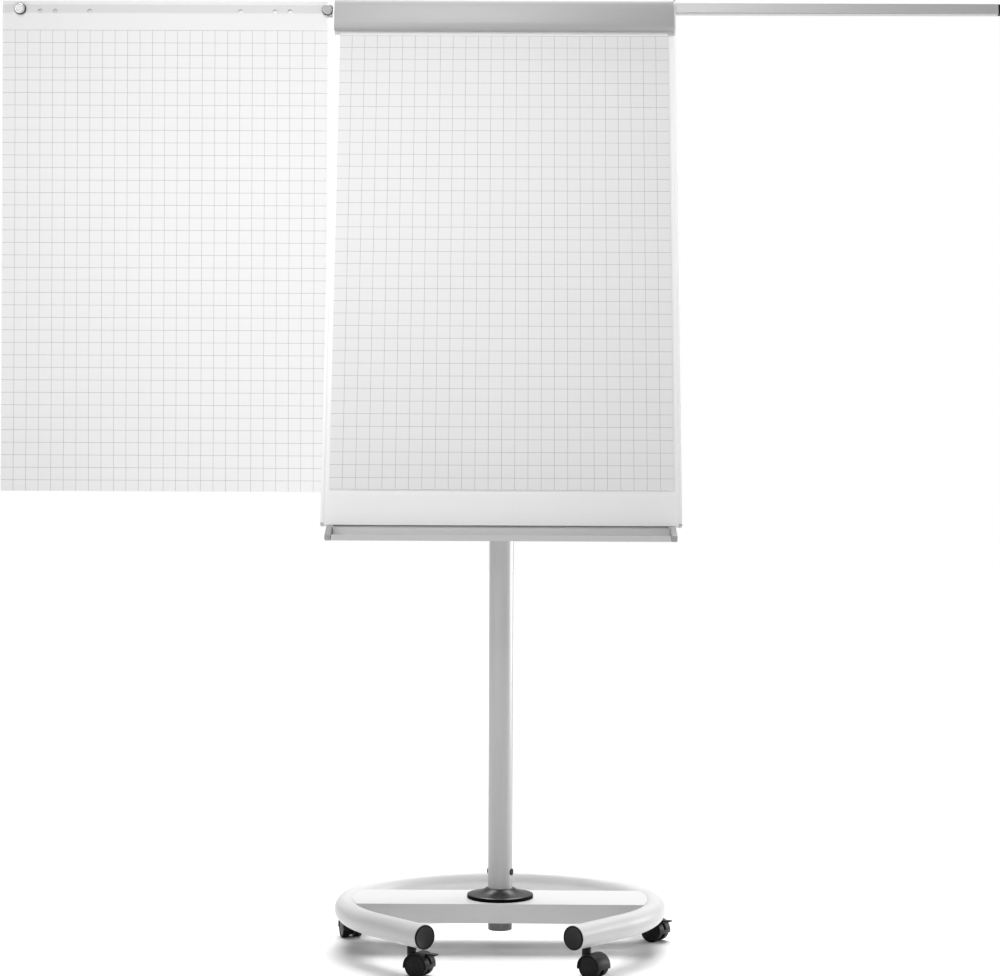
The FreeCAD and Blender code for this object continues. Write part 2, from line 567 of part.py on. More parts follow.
# ---------------------------------------------------------------------------
# Tilt joint on the board's side
# ---------------------------------------------------------------------------
def build_bracket():
    """Pressed bracket with two ears, its four screws, the hinge pin and the tilt knob."""
    plate_front = "core_back + face_gap"
    plate_back = "core_back + face_gap + bracket_plate"
    plate = block("bracket_sheet", ("-bracket_half_width", plate_front, "-bracket_half_height"),
                  ("bracket_half_width", plate_back, "bracket_half_height"))
    ears = []
    for side, low, high in (("right", "ear_inner", "ear_outer"), ("left", "-ear_outer", "-ear_inner")):
        ears.append(block("ear_" + side, (low, plate_front, "-ear_half_height"),
                          (high, 0, "ear_half_height")))
        ears.append(rod("ear_round_" + side, "head_radius", "ear_thickness", (low, 0, 0), "X"))
    bore = rod("ear_bore", "hinge_pin_radius", "4 * ear_outer", ("-2 * ear_outer", 0, 0), "X")
    spots = [(x_sign, z_sign) for x_sign in (-1, 1) for z_sign in (-1, 1)]
    holes = []
    screws = []
    for index, (x_sign, z_sign) in enumerate(spots):
        across = "%d * (bracket_half_width - bracket_screw_inset)" % x_sign
        up = "%d * (bracket_half_height - bracket_screw_inset)" % z_sign
        holes.append(rod("screw_hole_%d" % index, "bracket_screw_radius + face_gap", "4 * bracket_plate",
                         (across, "core_back - bracket_plate", up), "Y"))
        shank = rod("screw_shank_%d" % index, "bracket_screw_radius", "bracket_screw_bite + bracket_plate",
                    (across, "core_back - bracket_screw_bite", up), "Y")
        head = rod("screw_head_%d" % index, "bracket_screw_head_radius", "bracket_screw_head",
                   (across, plate_back + " + face_gap", up), "Y")
        neck = rod("screw_neck_%d" % index, "bracket_screw_radius",
                   "bracket_screw_head", (across, plate_back + " - bracket_screw_head / 2", up), "Y")
        screws.append(fuse("screw_%d" % index, [shank, neck, head]))
    board_part(cut("bracket", fuse("bracket_body", [plate] + ears), [bore] + holes), "board_bracket")
    board_part(group("bracket_screw_set", screws), "bracket_screws")

    pin = rod("pin_shank", "hinge_pin_radius", "2 * ear_outer + pin_thread", ("-ear_outer", 0, 0), "X")
    pin_head = rod("pin_cap", "pin_head_radius", "pin_head", ("-ear_outer - face_gap - pin_head", 0, 0), "X")
    pin_neck = rod("pin_neck", "hinge_pin_radius", "pin_head", ("-ear_outer - pin_head / 2", 0, 0), "X")
    board_part(fuse("pin", [pin, pin_head, pin_neck]), "hinge_pin")

    start = "ear_outer + slide_gap"
    grip = star_knob("tilt_knob_body", "tilt_knob_radius", "tilt_knob_length", (start, 0, 0), "X")
    thread = rod("tilt_knob_thread", "hinge_pin_radius + running_gap", "pin_thread + slide_gap",
                 ("ear_outer", 0, 0), "X")
    board_part(cut("tilt_knob_whole", grip, [thread]), "tilt_clamp_knob")


# ---------------------------------------------------------------------------
# Board
# ---------------------------------------------------------------------------
def build_panel():
    """Steel writing face on a light core, edged with two profiles and four corners."""
    half = "panel_width / 2"
    steel = block("steel_sheet", ("-" + half, "-face_offset", "-panel_bottom"),
                  (half, "core_front - bond_gap", "panel_top"))
    board_part(group("steel_face", [steel]), "writing_surface")
    core = block("core_block", ("-" + half, "core_front", "-panel_bottom"), (half, "core_back", "panel_top"))
    holes = []
    for index, (x_sign, z_sign) in enumerate([(x, z) for x in (-1, 1) for z in (-1, 1)]):
        holes.append(rod("core_hole_%d" % index, "bracket_screw_radius + face_gap",
                         "bracket_screw_bite + bracket_screw_head",
                         ("%d * (bracket_half_width - bracket_screw_inset)" % x_sign,
                          "core_back - bracket_screw_bite - face_gap",
                          "%d * (bracket_half_height - bracket_screw_inset)" % z_sign), "Y"))
    board_part(cut("core", core, holes), "board_core")

    low = "-panel_bottom + corner_size"
    high = "panel_top - corner_size"
    for side, inner, outer in (("right", half + " + face_gap", half + " + edge_profile_width"),
                               ("left", "-%s - edge_profile_width" % half, "-%s - face_gap" % half)):
        bar = block("edge_bar_" + side, (inner, "-face_offset - edge_profile_lip", low),
                    (outer, "core_back + edge_profile_lip", high))
        board_part(group("edge_" + side, [bar]), "side_profile_" + side)
    corners = []
    for x_name, inner, outer in (("right", half + " + face_gap", half + " + edge_profile_width"),
                                 ("left", "-%s - edge_profile_width" % half, "-%s - face_gap" % half)):
        for z_name, bottom, top in (("bottom", "-panel_bottom - edge_profile_lip", low + " - face_gap"),
                                    ("top", high + " + face_gap", "panel_top")):
            corners.append(block("corner_%s_%s" % (z_name, x_name),
                                 (inner, "-face_offset - edge_profile_lip", bottom),
                                 (outer, "core_back + edge_profile_lip", top)))
    board_part(group("corner_set", corners), "corner_pieces")


PAD_HOLE_OFFSETS = ("pad_hole_inner", "pad_hole_middle", "pad_hole_outer")


def build_pad():
    """Block of paper with its six punched holes, and the two hooks that hold it."""
    back = "-face_offset - face_gap"
    paper = block("pad_block", ("-pad_width / 2", back + " - pad_thickness", "pad_top - pad_height"),
                  ("pad_width / 2", back, "pad_top"))
    holes = []
    for sign in ("", "-"):
        for offset in PAD_HOLE_OFFSETS:
            holes.append(rod("pad_hole%s_%s" % (sign.replace("-", "_left"), offset), "pad_hole_radius",
                             "4 * pad_thickness",
                             (sign + offset, back + " - 2 * pad_thickness", "pad_top - pad_hole_drop"), "Y"))
    board_part(cut("pad_paper", paper, holes), "paper_pad")

    for side, across in (("right", "pad_hole_middle"), ("left", "-pad_hole_middle")):
        pin = rod("hook_pin_" + side, "hook_radius", "hook_length",
                  (across, "-face_offset - face_gap - hook_length", "pad_top - pad_hole_drop"), "Y")
        board_part(group("hook_" + side, [pin]), "pad_hook_" + side)


def build_clamp_bar():
    """Convex bar over the pad's head, hung on two small hinge ears."""
    back = "-face_offset - pad_thickness - slide_gap"
    front = "-face_offset - pad_thickness - clamp_bulge"
    span = "(clamp_top - clamp_bottom)"
    wall = "clamp_wall"
    outline = [
        (back, "clamp_bottom"),
        (front + " + 4", "clamp_bottom + 5"),
        (front, "clamp_bottom + 0.3 * " + span),
        (front + " + 1", "clamp_bottom + 0.6 * " + span),
        (front + " + 6", "clamp_bottom + 0.86 * " + span),
        ("-face_offset - 3", "clamp_top"),
        ("-face_offset - slide_gap", "clamp_top"),
        ("-face_offset - slide_gap", "clamp_top - %s" % wall),
        ("-face_offset - 4", "clamp_top - " + wall),
        (front + " + 6 + %s" % wall, "clamp_bottom + 0.84 * " + span),
        (front + " + 1 + %s" % wall, "clamp_bottom + 0.59 * " + span),
        (front + " + " + wall, "clamp_bottom + 0.31 * " + span),
        (front + " + 5 + " + wall, "clamp_bottom + 7"),
        (back, "clamp_bottom + " + wall),
    ]
    bar = drawn_section("clamp_section", outline, "clamp_width")
    board_part(bar, "clamp_bar")

    ears = []
    for side, sign in (("right", ""), ("left", "-")):
        middle = sign + "clamp_ear_offset"
        ears.append(block("clamp_ear_" + side,
                          (middle + " - clamp_ear_half_width", "-face_offset - clamp_ear_depth",
                           "clamp_top - clamp_wall - clamp_ear_gap - 3 * clamp_ear_depth"),
                          (middle + " + clamp_ear_half_width", "-face_offset - face_gap",
                           "clamp_top - clamp_wall - clamp_ear_gap")))
    board_part(group("clamp_ear_set", ears), "clamp_hinge_blocks")


def build_tray():
    """Pen tray: level floor, front lip and a flange behind the panel, with moulded ends."""
    lift = "cos(board_tilt)"
    fall = "sin(board_tilt)"
    floor_back = "-panel_bottom - tray_drop"
    back_in = "tray_back - tray_wall"
    points = [
        ("core_back + face_gap", "-panel_bottom + tray_flange"),
        ("core_back + face_gap + tray_wall", "-panel_bottom + tray_flange"),
        ("core_back + face_gap + tray_wall", "-panel_bottom - tray_wall - tray_top_gap"),
        ("tray_back", "-panel_bottom - tray_wall - tray_top_gap"),
        ("tray_back", floor_back),
        ("tray_back - tray_depth * " + lift, floor_back + " - tray_depth * " + fall),
        ("tray_back - tray_depth * %s - tray_lip * %s" % (lift, fall),
         floor_back + " - tray_depth * %s + tray_lip * %s" % (fall, lift)),
        ("tray_back - (tray_depth - tray_wall) * %s - tray_lip * %s" % (lift, fall),
         floor_back + " - (tray_depth - tray_wall) * %s + tray_lip * %s" % (fall, lift)),
        ("tray_back - (tray_depth - tray_wall) * %s - tray_wall * %s" % (lift, fall),
         floor_back + " - (tray_depth - tray_wall) * %s + tray_wall * %s" % (fall, lift)),
        (back_in, floor_back + " + tray_wall / %s - tray_wall * %s / %s" % (lift, fall, lift)),
        (back_in, "-panel_bottom - tray_top_gap"),
        ("core_back + face_gap", "-panel_bottom - tray_top_gap"),
    ]
    board_part(drawn_section("tray_section", points, "tray_width"), "pen_tray")

    outline = [
        ("tray_back + tray_cap_proud", "-panel_bottom - tray_wall"),
        ("tray_back + tray_cap_proud", floor_back + " - tray_cap_proud / 2"),
        ("tray_back - tray_depth * %s - tray_top_gap" % lift,
         floor_back + " - tray_depth * %s - tray_cap_proud / 2" % fall),
        ("tray_back - tray_depth * %s - tray_lip * %s - tray_top_gap" % (lift, fall),
         floor_back + " - tray_depth * %s + tray_lip * %s" % (fall, lift)),
        ("tray_back - tray_cap_shoulder", "-panel_bottom - tray_wall"),
    ]
    for side, sign in (("right", ""), ("left", "-")):
        cap = drawn_section("tray_cap_section_" + side, outline, "tray_cap")
        lean(cap)
        bind(cap, "Placement.Base.x", "%s(tray_width / 2 + face_gap + tray_cap / 2)" % sign)
        sub_part(cap, "tray_end_cap_" + side)


# ---------------------------------------------------------------------------
# Side arms, their rail, and the sheet that hangs from the left arm
# ---------------------------------------------------------------------------
def build_arm(side, face, groove_place, sign):
    """Grooved arm extrusion with a moulded end cap."""
    middle = "(%s) + %s" % (face, groove_place)
    body = block("arm_bar_" + side, (0, face, "arm_low"),
                 ("arm_length", "(%s) + arm_depth" % face, "arm_high"))
    low = "(%s) - arm_groove_width / 2" % middle
    high = "(%s) + arm_groove_width / 2" % middle
    cuts = [
        block("arm_groove_low_" + side, ("-arm_cap", low, "arm_low - 1"),
              ("arm_length + 1", high, "arm_low + arm_groove")),
        block("arm_groove_high_" + side, ("-arm_cap", low, "arm_high - arm_groove"),
              ("arm_length + 1", high, "arm_high + 1")),
        block("arm_hollow_" + side,
              ("-arm_cap", "(%s) + arm_wall" % face, "arm_low + arm_groove + arm_wall"),
              ("arm_length + 1", "(%s) + arm_depth - arm_wall" % face, "arm_high - arm_groove - arm_wall")),
    ]
    arm = cut("arm_" + side, body, cuts)
    start = "arm_reach - arm_cap - arm_length" if sign > 0 else "arm_cap - arm_reach"
    lean(arm)
    bind(arm, "Placement.Base.x", start)
    sub_part(arm, side + "_arm")

    cap_low = "arm_reach - arm_cap + face_gap" if sign > 0 else "-arm_reach"
    cap_high = "arm_reach" if sign > 0 else "arm_cap - face_gap - arm_reach"
    plate = block("arm_cap_plate_" + side, (cap_low, face, "arm_low"),
                  (cap_high, "(%s) + arm_depth" % face, "arm_high"))
    plug_low = "arm_reach - 2 * arm_cap" if sign > 0 else "arm_cap - arm_reach - 1"
    plug_high = "arm_reach - arm_cap + 1" if sign > 0 else "2 * arm_cap - arm_reach"
    plug = block("arm_cap_plug_" + side,
                 (plug_low, "(%s) + arm_wall + face_gap" % face,
                  "arm_low + arm_groove + arm_wall + face_gap"),
                 (plug_high, "(%s) + arm_depth - arm_wall - face_gap" % face,
                  "arm_high - arm_groove - arm_wall - face_gap"))
    board_part(fuse("arm_cap_" + side, [plate, plug]), side + "_arm_cap")


def build_rail():
    """One rail behind the panel's head: two lipped channels, open below in the middle.

    The roof rises between them, so that a sheet hung from the rear arm passes when the arm is pushed in.
    """
    low = "arm_low - rail_gap"
    high = "arm_high + rail_gap"
    lip = "(arm_groove - rail_gap)"
    front_lip = "front_arm_face + front_groove_place"
    rear_lip = "rear_arm_face + rear_groove_place"
    ridge_front = front_lip + " + arm_groove_width / 2 + rail_gap"
    ridge_back = "rear_arm_face + rail_wall"
    half_lip = "(arm_groove_width / 2 - rail_gap)"
    points = [
        ("rail_front", low + " - rail_wall"),
        (front_lip + " + " + half_lip, low + " - rail_wall"),
        (front_lip + " + " + half_lip, low + " + " + lip),
        (front_lip + " - " + half_lip, low + " + " + lip),
        (front_lip + " - " + half_lip, low),
        ("rail_front + rail_wall", low),
        ("rail_front + rail_wall", high),
        (front_lip + " - " + half_lip, high),
        (front_lip + " - " + half_lip, high + " - " + lip),
        (front_lip + " + " + half_lip, high + " - " + lip),
        (front_lip + " + " + half_lip, high),
        (ridge_front, high),
        (ridge_front, high + " + rail_ridge"),
        (ridge_back, high + " + rail_ridge"),
        (ridge_back, high),
        (rear_lip + " - " + half_lip, high),
        (rear_lip + " - " + half_lip, high + " - " + lip),
        (rear_lip + " + " + half_lip, high + " - " + lip),
        (rear_lip + " + " + half_lip, high),
        ("rail_back - rail_wall", high),
        ("rail_back - rail_wall", low),
        (rear_lip + " + " + half_lip, low),
        (rear_lip + " + " + half_lip, low + " + " + lip),
        (rear_lip + " - " + half_lip, low + " + " + lip),
        (rear_lip + " - " + half_lip, low + " - rail_wall"),
        ("rail_back", low + " - rail_wall"),
        ("rail_back", high + " + rail_wall"),
        (ridge_back + " + rail_wall", high + " + rail_wall"),
        (ridge_back + " + rail_wall", high + " + rail_ridge + rail_wall"),
        (ridge_front + " - rail_wall", high + " + rail_ridge + rail_wall"),
        (ridge_front + " - rail_wall", high + " + rail_wall"),
        ("rail_front", high + " + rail_wall"),
    ]
    board_part(drawn_section("rail_section", points, "rail_length"), "arm_rail")


def build_sheet():
    """Loose sheet that hangs plumb from the left arm, and its two magnets."""
    back = "sheet_face"
    front = "sheet_face - sheet_thickness"
    paper = block("sheet_block",
                  ("-sheet_right_edge - pad_width", front, "sheet_top_height - pad_height"),
                  ("-sheet_right_edge", back, "sheet_top_height"))
    centre = "(-sheet_right_edge - pad_width / 2)"
    holes = []
    for sign in ("+", "-"):
        for offset in PAD_HOLE_OFFSETS:
            holes.append(rod("sheet_hole_%s_%s" % ("right" if sign == "+" else "left", offset),
                             "pad_hole_radius", "4", ("%s %s %s" % (centre, sign, offset),
                                                      front + " - 2", "sheet_top_height - pad_hole_drop"),
                             "Y"))
    sub_part(cut("sheet_paper", paper, holes), "hanging_sheet")

    for side in ("right", "left"):
        spot = "-magnet_" + side
        base = rod("magnet_base_" + side, "magnet_base_radius", "magnet_base",
                   (spot, front + " - face_gap - magnet_base", "magnet_height"), "Y")
        knob = rod("magnet_knob_" + side, "magnet_radius", "magnet_cap",
                   (spot, front + " - face_gap - magnet_base - magnet_cap", "magnet_height"), "Y")
        sub_part(fuse("magnet_" + side, [base, knob]), "sheet_magnet_" + side)


def check_and_export():
    """Refuse a failed feature or an invalid solid, then write one file per sub-part."""
    document.recompute()
    failed = [item.Name for item in document.Objects if "Invalid" in item.State or "Error" in item.State]
    if failed:
        raise RuntimeError("failed features: " + ", ".join(failed))
    for item in SUB_PARTS:
        if item.Shape.isNull() or not item.Shape.isValid() or item.Shape.Volume <= 0:
            raise RuntimeError("bad shape: " + item.Label)
    os.makedirs("parts", exist_ok=True)
    for item in SUB_PARTS:
        item.Shape.exportStep("parts/" + item.Label + ".step")
        print("%-28s %12.1f mm3  %d solids" % (item.Label, item.Shape.Volume, len(item.Shape.Solids)))


build_ring()
build_ring_caps()
build_cross_bar()
build_pole_foot()
build_outer_pole()
build_bush_and_collar()
build_height_knob()
build_inner_pole()
for station_name in STATIONS:
    build_castor(station_name)
build_bracket()
build_panel()
build_pad()
build_clamp_bar()
build_tray()
build_rail()
build_arm("right", "front_arm_face", "front_groove_place", 1)
build_arm("left", "rear_arm_face", "rear_groove_place", -1)
build_sheet()
check_and_export()
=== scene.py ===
"""Mobile flipchart easel: finishes, detailed pieces, studio and camera over the fixed CAD frame."""
import json
import logging
import math
from dataclasses import dataclass
from enum import Enum
from typing import Callable, Iterable, Sequence

import bmesh
import bpy
from mathutils import Matrix, Vector


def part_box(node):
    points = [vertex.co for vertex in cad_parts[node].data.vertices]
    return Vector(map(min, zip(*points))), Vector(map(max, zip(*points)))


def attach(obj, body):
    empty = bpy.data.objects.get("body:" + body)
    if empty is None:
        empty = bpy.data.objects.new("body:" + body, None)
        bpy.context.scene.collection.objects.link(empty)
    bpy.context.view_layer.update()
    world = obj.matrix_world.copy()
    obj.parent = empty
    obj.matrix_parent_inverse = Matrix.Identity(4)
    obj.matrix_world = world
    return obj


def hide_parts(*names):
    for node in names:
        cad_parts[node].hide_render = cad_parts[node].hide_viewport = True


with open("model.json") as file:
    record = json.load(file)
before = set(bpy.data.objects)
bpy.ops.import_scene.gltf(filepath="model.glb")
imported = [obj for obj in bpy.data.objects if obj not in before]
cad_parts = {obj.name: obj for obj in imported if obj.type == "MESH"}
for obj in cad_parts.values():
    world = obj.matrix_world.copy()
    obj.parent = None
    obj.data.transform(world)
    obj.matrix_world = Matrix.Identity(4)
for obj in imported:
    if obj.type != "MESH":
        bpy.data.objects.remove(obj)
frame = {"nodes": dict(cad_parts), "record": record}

LOG = logging.getLogger("flipchart")
BOARD_TILT = math.radians(13.5)
HINGE_HEIGHT = 1.366
SAME_PLACE = 1e-4
LEVEL = 1e-6
FACING = 0.99
Point = tuple[float, float, float]


class Side(Enum):
    """Side of the board as the reader sees it."""

    LEFT = "left"
    RIGHT = "right"

    @property
    def sign(self) -> float:
        """Direction along X."""
        return 1.0 if self is Side.RIGHT else -1.0


class Station(Enum):
    """Place of a castor on the ring."""

    FRONT_LEFT = "front_left"
    FRONT_RIGHT = "front_right"
    RIGHT = "right"
    LEFT = "left"
    REAR = "rear"


class Run(Enum):
    """Direction in which a surface was drawn or brushed, as a stretch of its pattern."""

    NONE = (1.0, 1.0, 1.0)
    ALONG_X = (0.02, 1.0, 1.0)
    ALONG_Z = (1.0, 1.0, 0.02)


class Pick(Enum):
    """Kind of mesh element that a selection is made of."""

    VERT = "verts"
    EDGE = "edges"
    FACE = "faces"


def grey(lightness: float, warmth: float = 0.0) -> tuple[float, float, float, float]:
    """Linear colour of a display lightness.

    Args:
        lightness: Display value from 0 to 1.
        warmth: Shift between red and blue, positive for warmer.

    Returns:
        Linear red, green, blue and alpha.
    """
    toe, slope, offset, power = 0.04045, 12.92, 0.055, 2.4
    linear = lightness / slope if lightness <= toe else ((lightness + offset) / (1 + offset)) ** power
    return (linear * (1 + warmth), linear, linear * (1 - warmth), 1.0)


# ---------------------------------------------------------------------------
# Shared shader effects
# ---------------------------------------------------------------------------
class Effect:
    """A shader node group under construction."""

    def __init__(self, name: str) -> None:
        """Start an empty group."""
        self.tree: bpy.types.NodeTree = bpy.data.node_groups.new(name, "ShaderNodeTree")
        self.entry = self.tree.nodes.new("NodeGroupInput")
        self.exit = self.tree.nodes.new("NodeGroupOutput")

    def take(self, name: str, kind: str, default: object = None) -> bpy.types.NodeSocket:
        """Add an input.

        Args:
            name: Name of the socket.
            kind: "Float", "Color" or "Vector".
            default: Value used where nothing is linked.

        Returns:
            The socket inside the group.
        """
        socket = self.tree.interface.new_socket(name, in_out="INPUT", socket_type="NodeSocket" + kind)
        if default is not None:
            socket.default_value = default
        return self.entry.outputs[name]

    def give(self, name: str, kind: str, source: bpy.types.NodeSocket) -> None:
        """Add an output fed by a socket.

        Args:
            name: Name of the socket.
            kind: "Float", "Color" or "Vector".
            source: Socket that feeds it.
        """
        self.tree.interface.new_socket(name, in_out="OUTPUT", socket_type="NodeSocket" + kind)
        self.tree.links.new(source, self.exit.inputs[name])

    def node(self, kind: str, **values: object) -> bpy.types.Node:
        """Add a node and set its properties by name."""
        made = self.tree.nodes.new(kind)
        for name, value in values.items():
            setattr(made, name, value)
        return made

    def math(self, operation: str, first: object, second: object = None, third: object = None,
             clamp: bool = False) -> bpy.types.NodeSocket:
        """Add a Math node.

        Args:
            operation: Name of the operation.
            first: Socket or number.
            second: Socket or number.
            third: Socket or number.
            clamp: Whether the result is kept between 0 and 1.

        Returns:
            The result.
        """
        made = self.node("ShaderNodeMath", operation=operation, use_clamp=clamp)
        for place, value in enumerate((first, second, third)):
            if isinstance(value, bpy.types.NodeSocket):
                self.tree.links.new(value, made.inputs[place])
            elif value is not None:
                made.inputs[place].default_value = value
        return made.outputs[0]

    def noise(self, vector: bpy.types.NodeSocket, scale: object, detail: float) -> bpy.types.NodeSocket:
        """Add a Noise Texture and return its value."""
        made = self.node("ShaderNodeTexNoise")
        made.inputs["Detail"].default_value = detail
        self.tree.links.new(vector, made.inputs["Vector"])
        if isinstance(scale, bpy.types.NodeSocket):
            self.tree.links.new(scale, made.inputs["Scale"])
        else:
            made.inputs["Scale"].default_value = scale
        return made.outputs["Fac"]

    def mix(self, factor: bpy.types.NodeSocket, first: bpy.types.NodeSocket,
            second: bpy.types.NodeSocket) -> bpy.types.NodeSocket:
        """Mix two colours."""
        made = self.node("ShaderNodeMix", data_type="RGBA")
        self.tree.links.new(factor, made.inputs[0])
        self.tree.links.new(first, made.inputs[6])
        self.tree.links.new(second, made.inputs[7])
        return made.outputs[2]


def worked_surface_effect() -> bpy.types.NodeTree:
    """Broad patches and fine grain, as a colour, a roughness and a height.

    Returns:
        The finished group.
    """
    effect = Effect("worked_surface")
    vector = effect.take("Vector", "Vector")
    light = effect.take("Light Colour", "Color", (0.8, 0.8, 0.8, 1))
    dark = effect.take("Dark Colour", "Color", (0.7, 0.7, 0.7, 1))
    patch_scale = effect.take("Patch Scale", "Float", 6.0)
    grain_scale = effect.take("Grain Scale", "Float", 900.0)
    low = effect.take("Least Roughness", "Float", 0.35)
    high = effect.take("Most Roughness", "Float", 0.5)
    grain_share, patch_share, middle, contrast = 0.45, 0.55, 0.5, 2.2
    patches = effect.noise(vector, patch_scale, 3.0)
    grain = effect.noise(vector, grain_scale, 2.0)
    blend = effect.math("MULTIPLY_ADD", grain, grain_share, effect.math("MULTIPLY", patches, patch_share))
    away = effect.math("SUBTRACT", blend, middle)
    sharp = effect.math("MULTIPLY_ADD", away, contrast, middle, clamp=True)
    effect.give("Color", "Color", effect.mix(sharp, light, dark))
    span = effect.math("SUBTRACT", high, low)
    effect.give("Roughness", "Float", effect.math("MULTIPLY_ADD", sharp, span, low))
    effect.give("Height", "Float", grain)
    return effect.tree


def squared_print_effect() -> bpy.types.NodeTree:
    """Printed squares on fibrous paper, and a soft-edged band of painted shade: the shadow of the arm behind the
    sheet, seen through the paper.

    Returns:
        The finished group.
    """
    effect = Effect("squared_print")
    vector = effect.take("Vector", "Vector")
    paper = effect.take("Paper Colour", "Color", (0.8, 0.8, 0.8, 1))
    shade = effect.take("Fibre Colour", "Color", (0.7, 0.7, 0.7, 1))
    ink = effect.take("Ink Colour", "Color", (0.4, 0.4, 0.4, 1))
    pitch = effect.take("Pitch", "Float", 0.025)
    line = effect.take("Line Width", "Float", 0.0005)
    half = effect.take("Half Width", "Float", 0.325)
    top = effect.take("Top Line", "Float", 0.422)
    bottom = effect.take("Bottom Line", "Float", -0.478)
    front = effect.take("Print Front", "Float", 0.0)
    shade_low = effect.take("Shade Low", "Float", 0.0)
    shade_high = effect.take("Shade High", "Float", 0.0)
    shade_colour = effect.take("Shade Colour", "Color", (0.7, 0.7, 0.7, 1))
    fibre_scale, cloud_scale, band_sharpness, margin_lines = 420.0, 3.0, 350.0, 0.6
    split = effect.node("ShaderNodeSeparateXYZ")
    effect.tree.links.new(vector, split.inputs[0])
    across, depth, up = split.outputs

    def lines(value: bpy.types.NodeSocket) -> bpy.types.NodeSocket:
        """Mask of the lines across one direction."""
        away = effect.math("PINGPONG", value, effect.math("MULTIPLY", pitch, 0.5))
        inside = effect.math("SUBTRACT", effect.math("MULTIPLY", line, 0.5), away)
        return effect.math("GREATER_THAN", inside, 0.0)

    columns = lines(effect.math("ABSOLUTE", across))
    rows = lines(effect.math("ABSOLUTE", effect.math("SUBTRACT", up, top)))
    edge = effect.math("SUBTRACT", half, effect.math("MULTIPLY", line, margin_lines))
    within = effect.math("LESS_THAN", effect.math("ABSOLUTE", across), edge)
    below = effect.math("LESS_THAN", up, effect.math("ADD", top, line))
    above = effect.math("GREATER_THAN", up, effect.math("SUBTRACT", bottom, line))
    facing = effect.math("LESS_THAN", depth, front)
    printed = effect.math("MAXIMUM", columns, effect.math("MULTIPLY", rows, above))
    for mask in (within, below, facing):
        printed = effect.math("MULTIPLY", printed, mask)
    fibres = effect.noise(vector, fibre_scale, 3.0)
    clouds = effect.noise(vector, cloud_scale, 2.0)
    ground = effect.mix(effect.math("MULTIPLY", fibres, clouds), paper, shade)
    # Painted shade: a soft-edged darker band between Shade Low and Shade High, standing in for the arm's shadow
    # seen through the thin paper.
    rise = effect.math("MULTIPLY", effect.math("SUBTRACT", up, shade_low), band_sharpness, clamp=True)
    drop = effect.math("MULTIPLY", effect.math("SUBTRACT", shade_high, up), band_sharpness, clamp=True)
    ground = effect.mix(effect.math("MULTIPLY", rise, drop), ground, shade_colour)
    effect.give("Color", "Color", effect.mix(printed, ground, ink))
    effect.give("Height", "Float", fibres)
    return effect.tree


# ---------------------------------------------------------------------------
# Finishes
# ---------------------------------------------------------------------------
@dataclass(frozen=True)
class Finish:
    """Finish of a made surface: coated, anodised, moulded or machined."""

    name: str
    lightness: float
    variation: float = 0.02
    warmth: float = 0.0
    metallic: float = 0.0
    roughness: float = 0.4
    spread: float = 0.08
    coat: float = 0.0
    specular: float = 0.5
    patch_scale: float = 7.0
    grain_scale: float = 700.0
    bump: float = 0.02
    run: Run = Run.NONE
    coat_roughness: float = 0.12
    grain_depth: float = 0.0006

    def material(self) -> bpy.types.Material:
        """Material of this finish, made once.

        Returns:
            The material.
        """
        made = bpy.data.materials.get(self.name)
        if made is not None:
            return made
        made = bpy.data.materials.new(self.name)
        made.use_nodes = True
        nodes, links = made.node_tree.nodes, made.node_tree.links
        shader = nodes["Principled BSDF"]
        shader.inputs["Metallic"].default_value = self.metallic
        shader.inputs["Coat Weight"].default_value = self.coat
        shader.inputs["Specular IOR Level"].default_value = self.specular
        shader.inputs["Coat Roughness"].default_value = self.coat_roughness
        place = nodes.new("ShaderNodeTexCoord")
        mapping = nodes.new("ShaderNodeMapping")
        mapping.inputs["Scale"].default_value = self.run.value
        surface = nodes.new("ShaderNodeGroup")
        surface.node_tree = bpy.data.node_groups["worked_surface"]
        light = grey(min(1.0, self.lightness + self.variation), self.warmth)
        dark = grey(max(0.0, self.lightness - self.variation), self.warmth)
        surface.inputs["Light Colour"].default_value = light
        surface.inputs["Dark Colour"].default_value = dark
        surface.inputs["Patch Scale"].default_value = self.patch_scale
        surface.inputs["Grain Scale"].default_value = self.grain_scale
        surface.inputs["Least Roughness"].default_value = self.roughness
        surface.inputs["Most Roughness"].default_value = self.roughness + self.spread
        bump = nodes.new("ShaderNodeBump")
        bump.inputs["Strength"].default_value = self.bump
        bump.inputs["Distance"].default_value = self.grain_depth
        links.new(place.outputs["Object"], mapping.inputs["Vector"])
        links.new(mapping.outputs["Vector"], surface.inputs["Vector"])
        links.new(surface.outputs["Color"], shader.inputs["Base Color"])
        links.new(surface.outputs["Roughness"], shader.inputs["Roughness"])
        links.new(surface.outputs["Height"], bump.inputs["Height"])
        links.new(bump.outputs["Normal"], shader.inputs["Normal"])
        return made


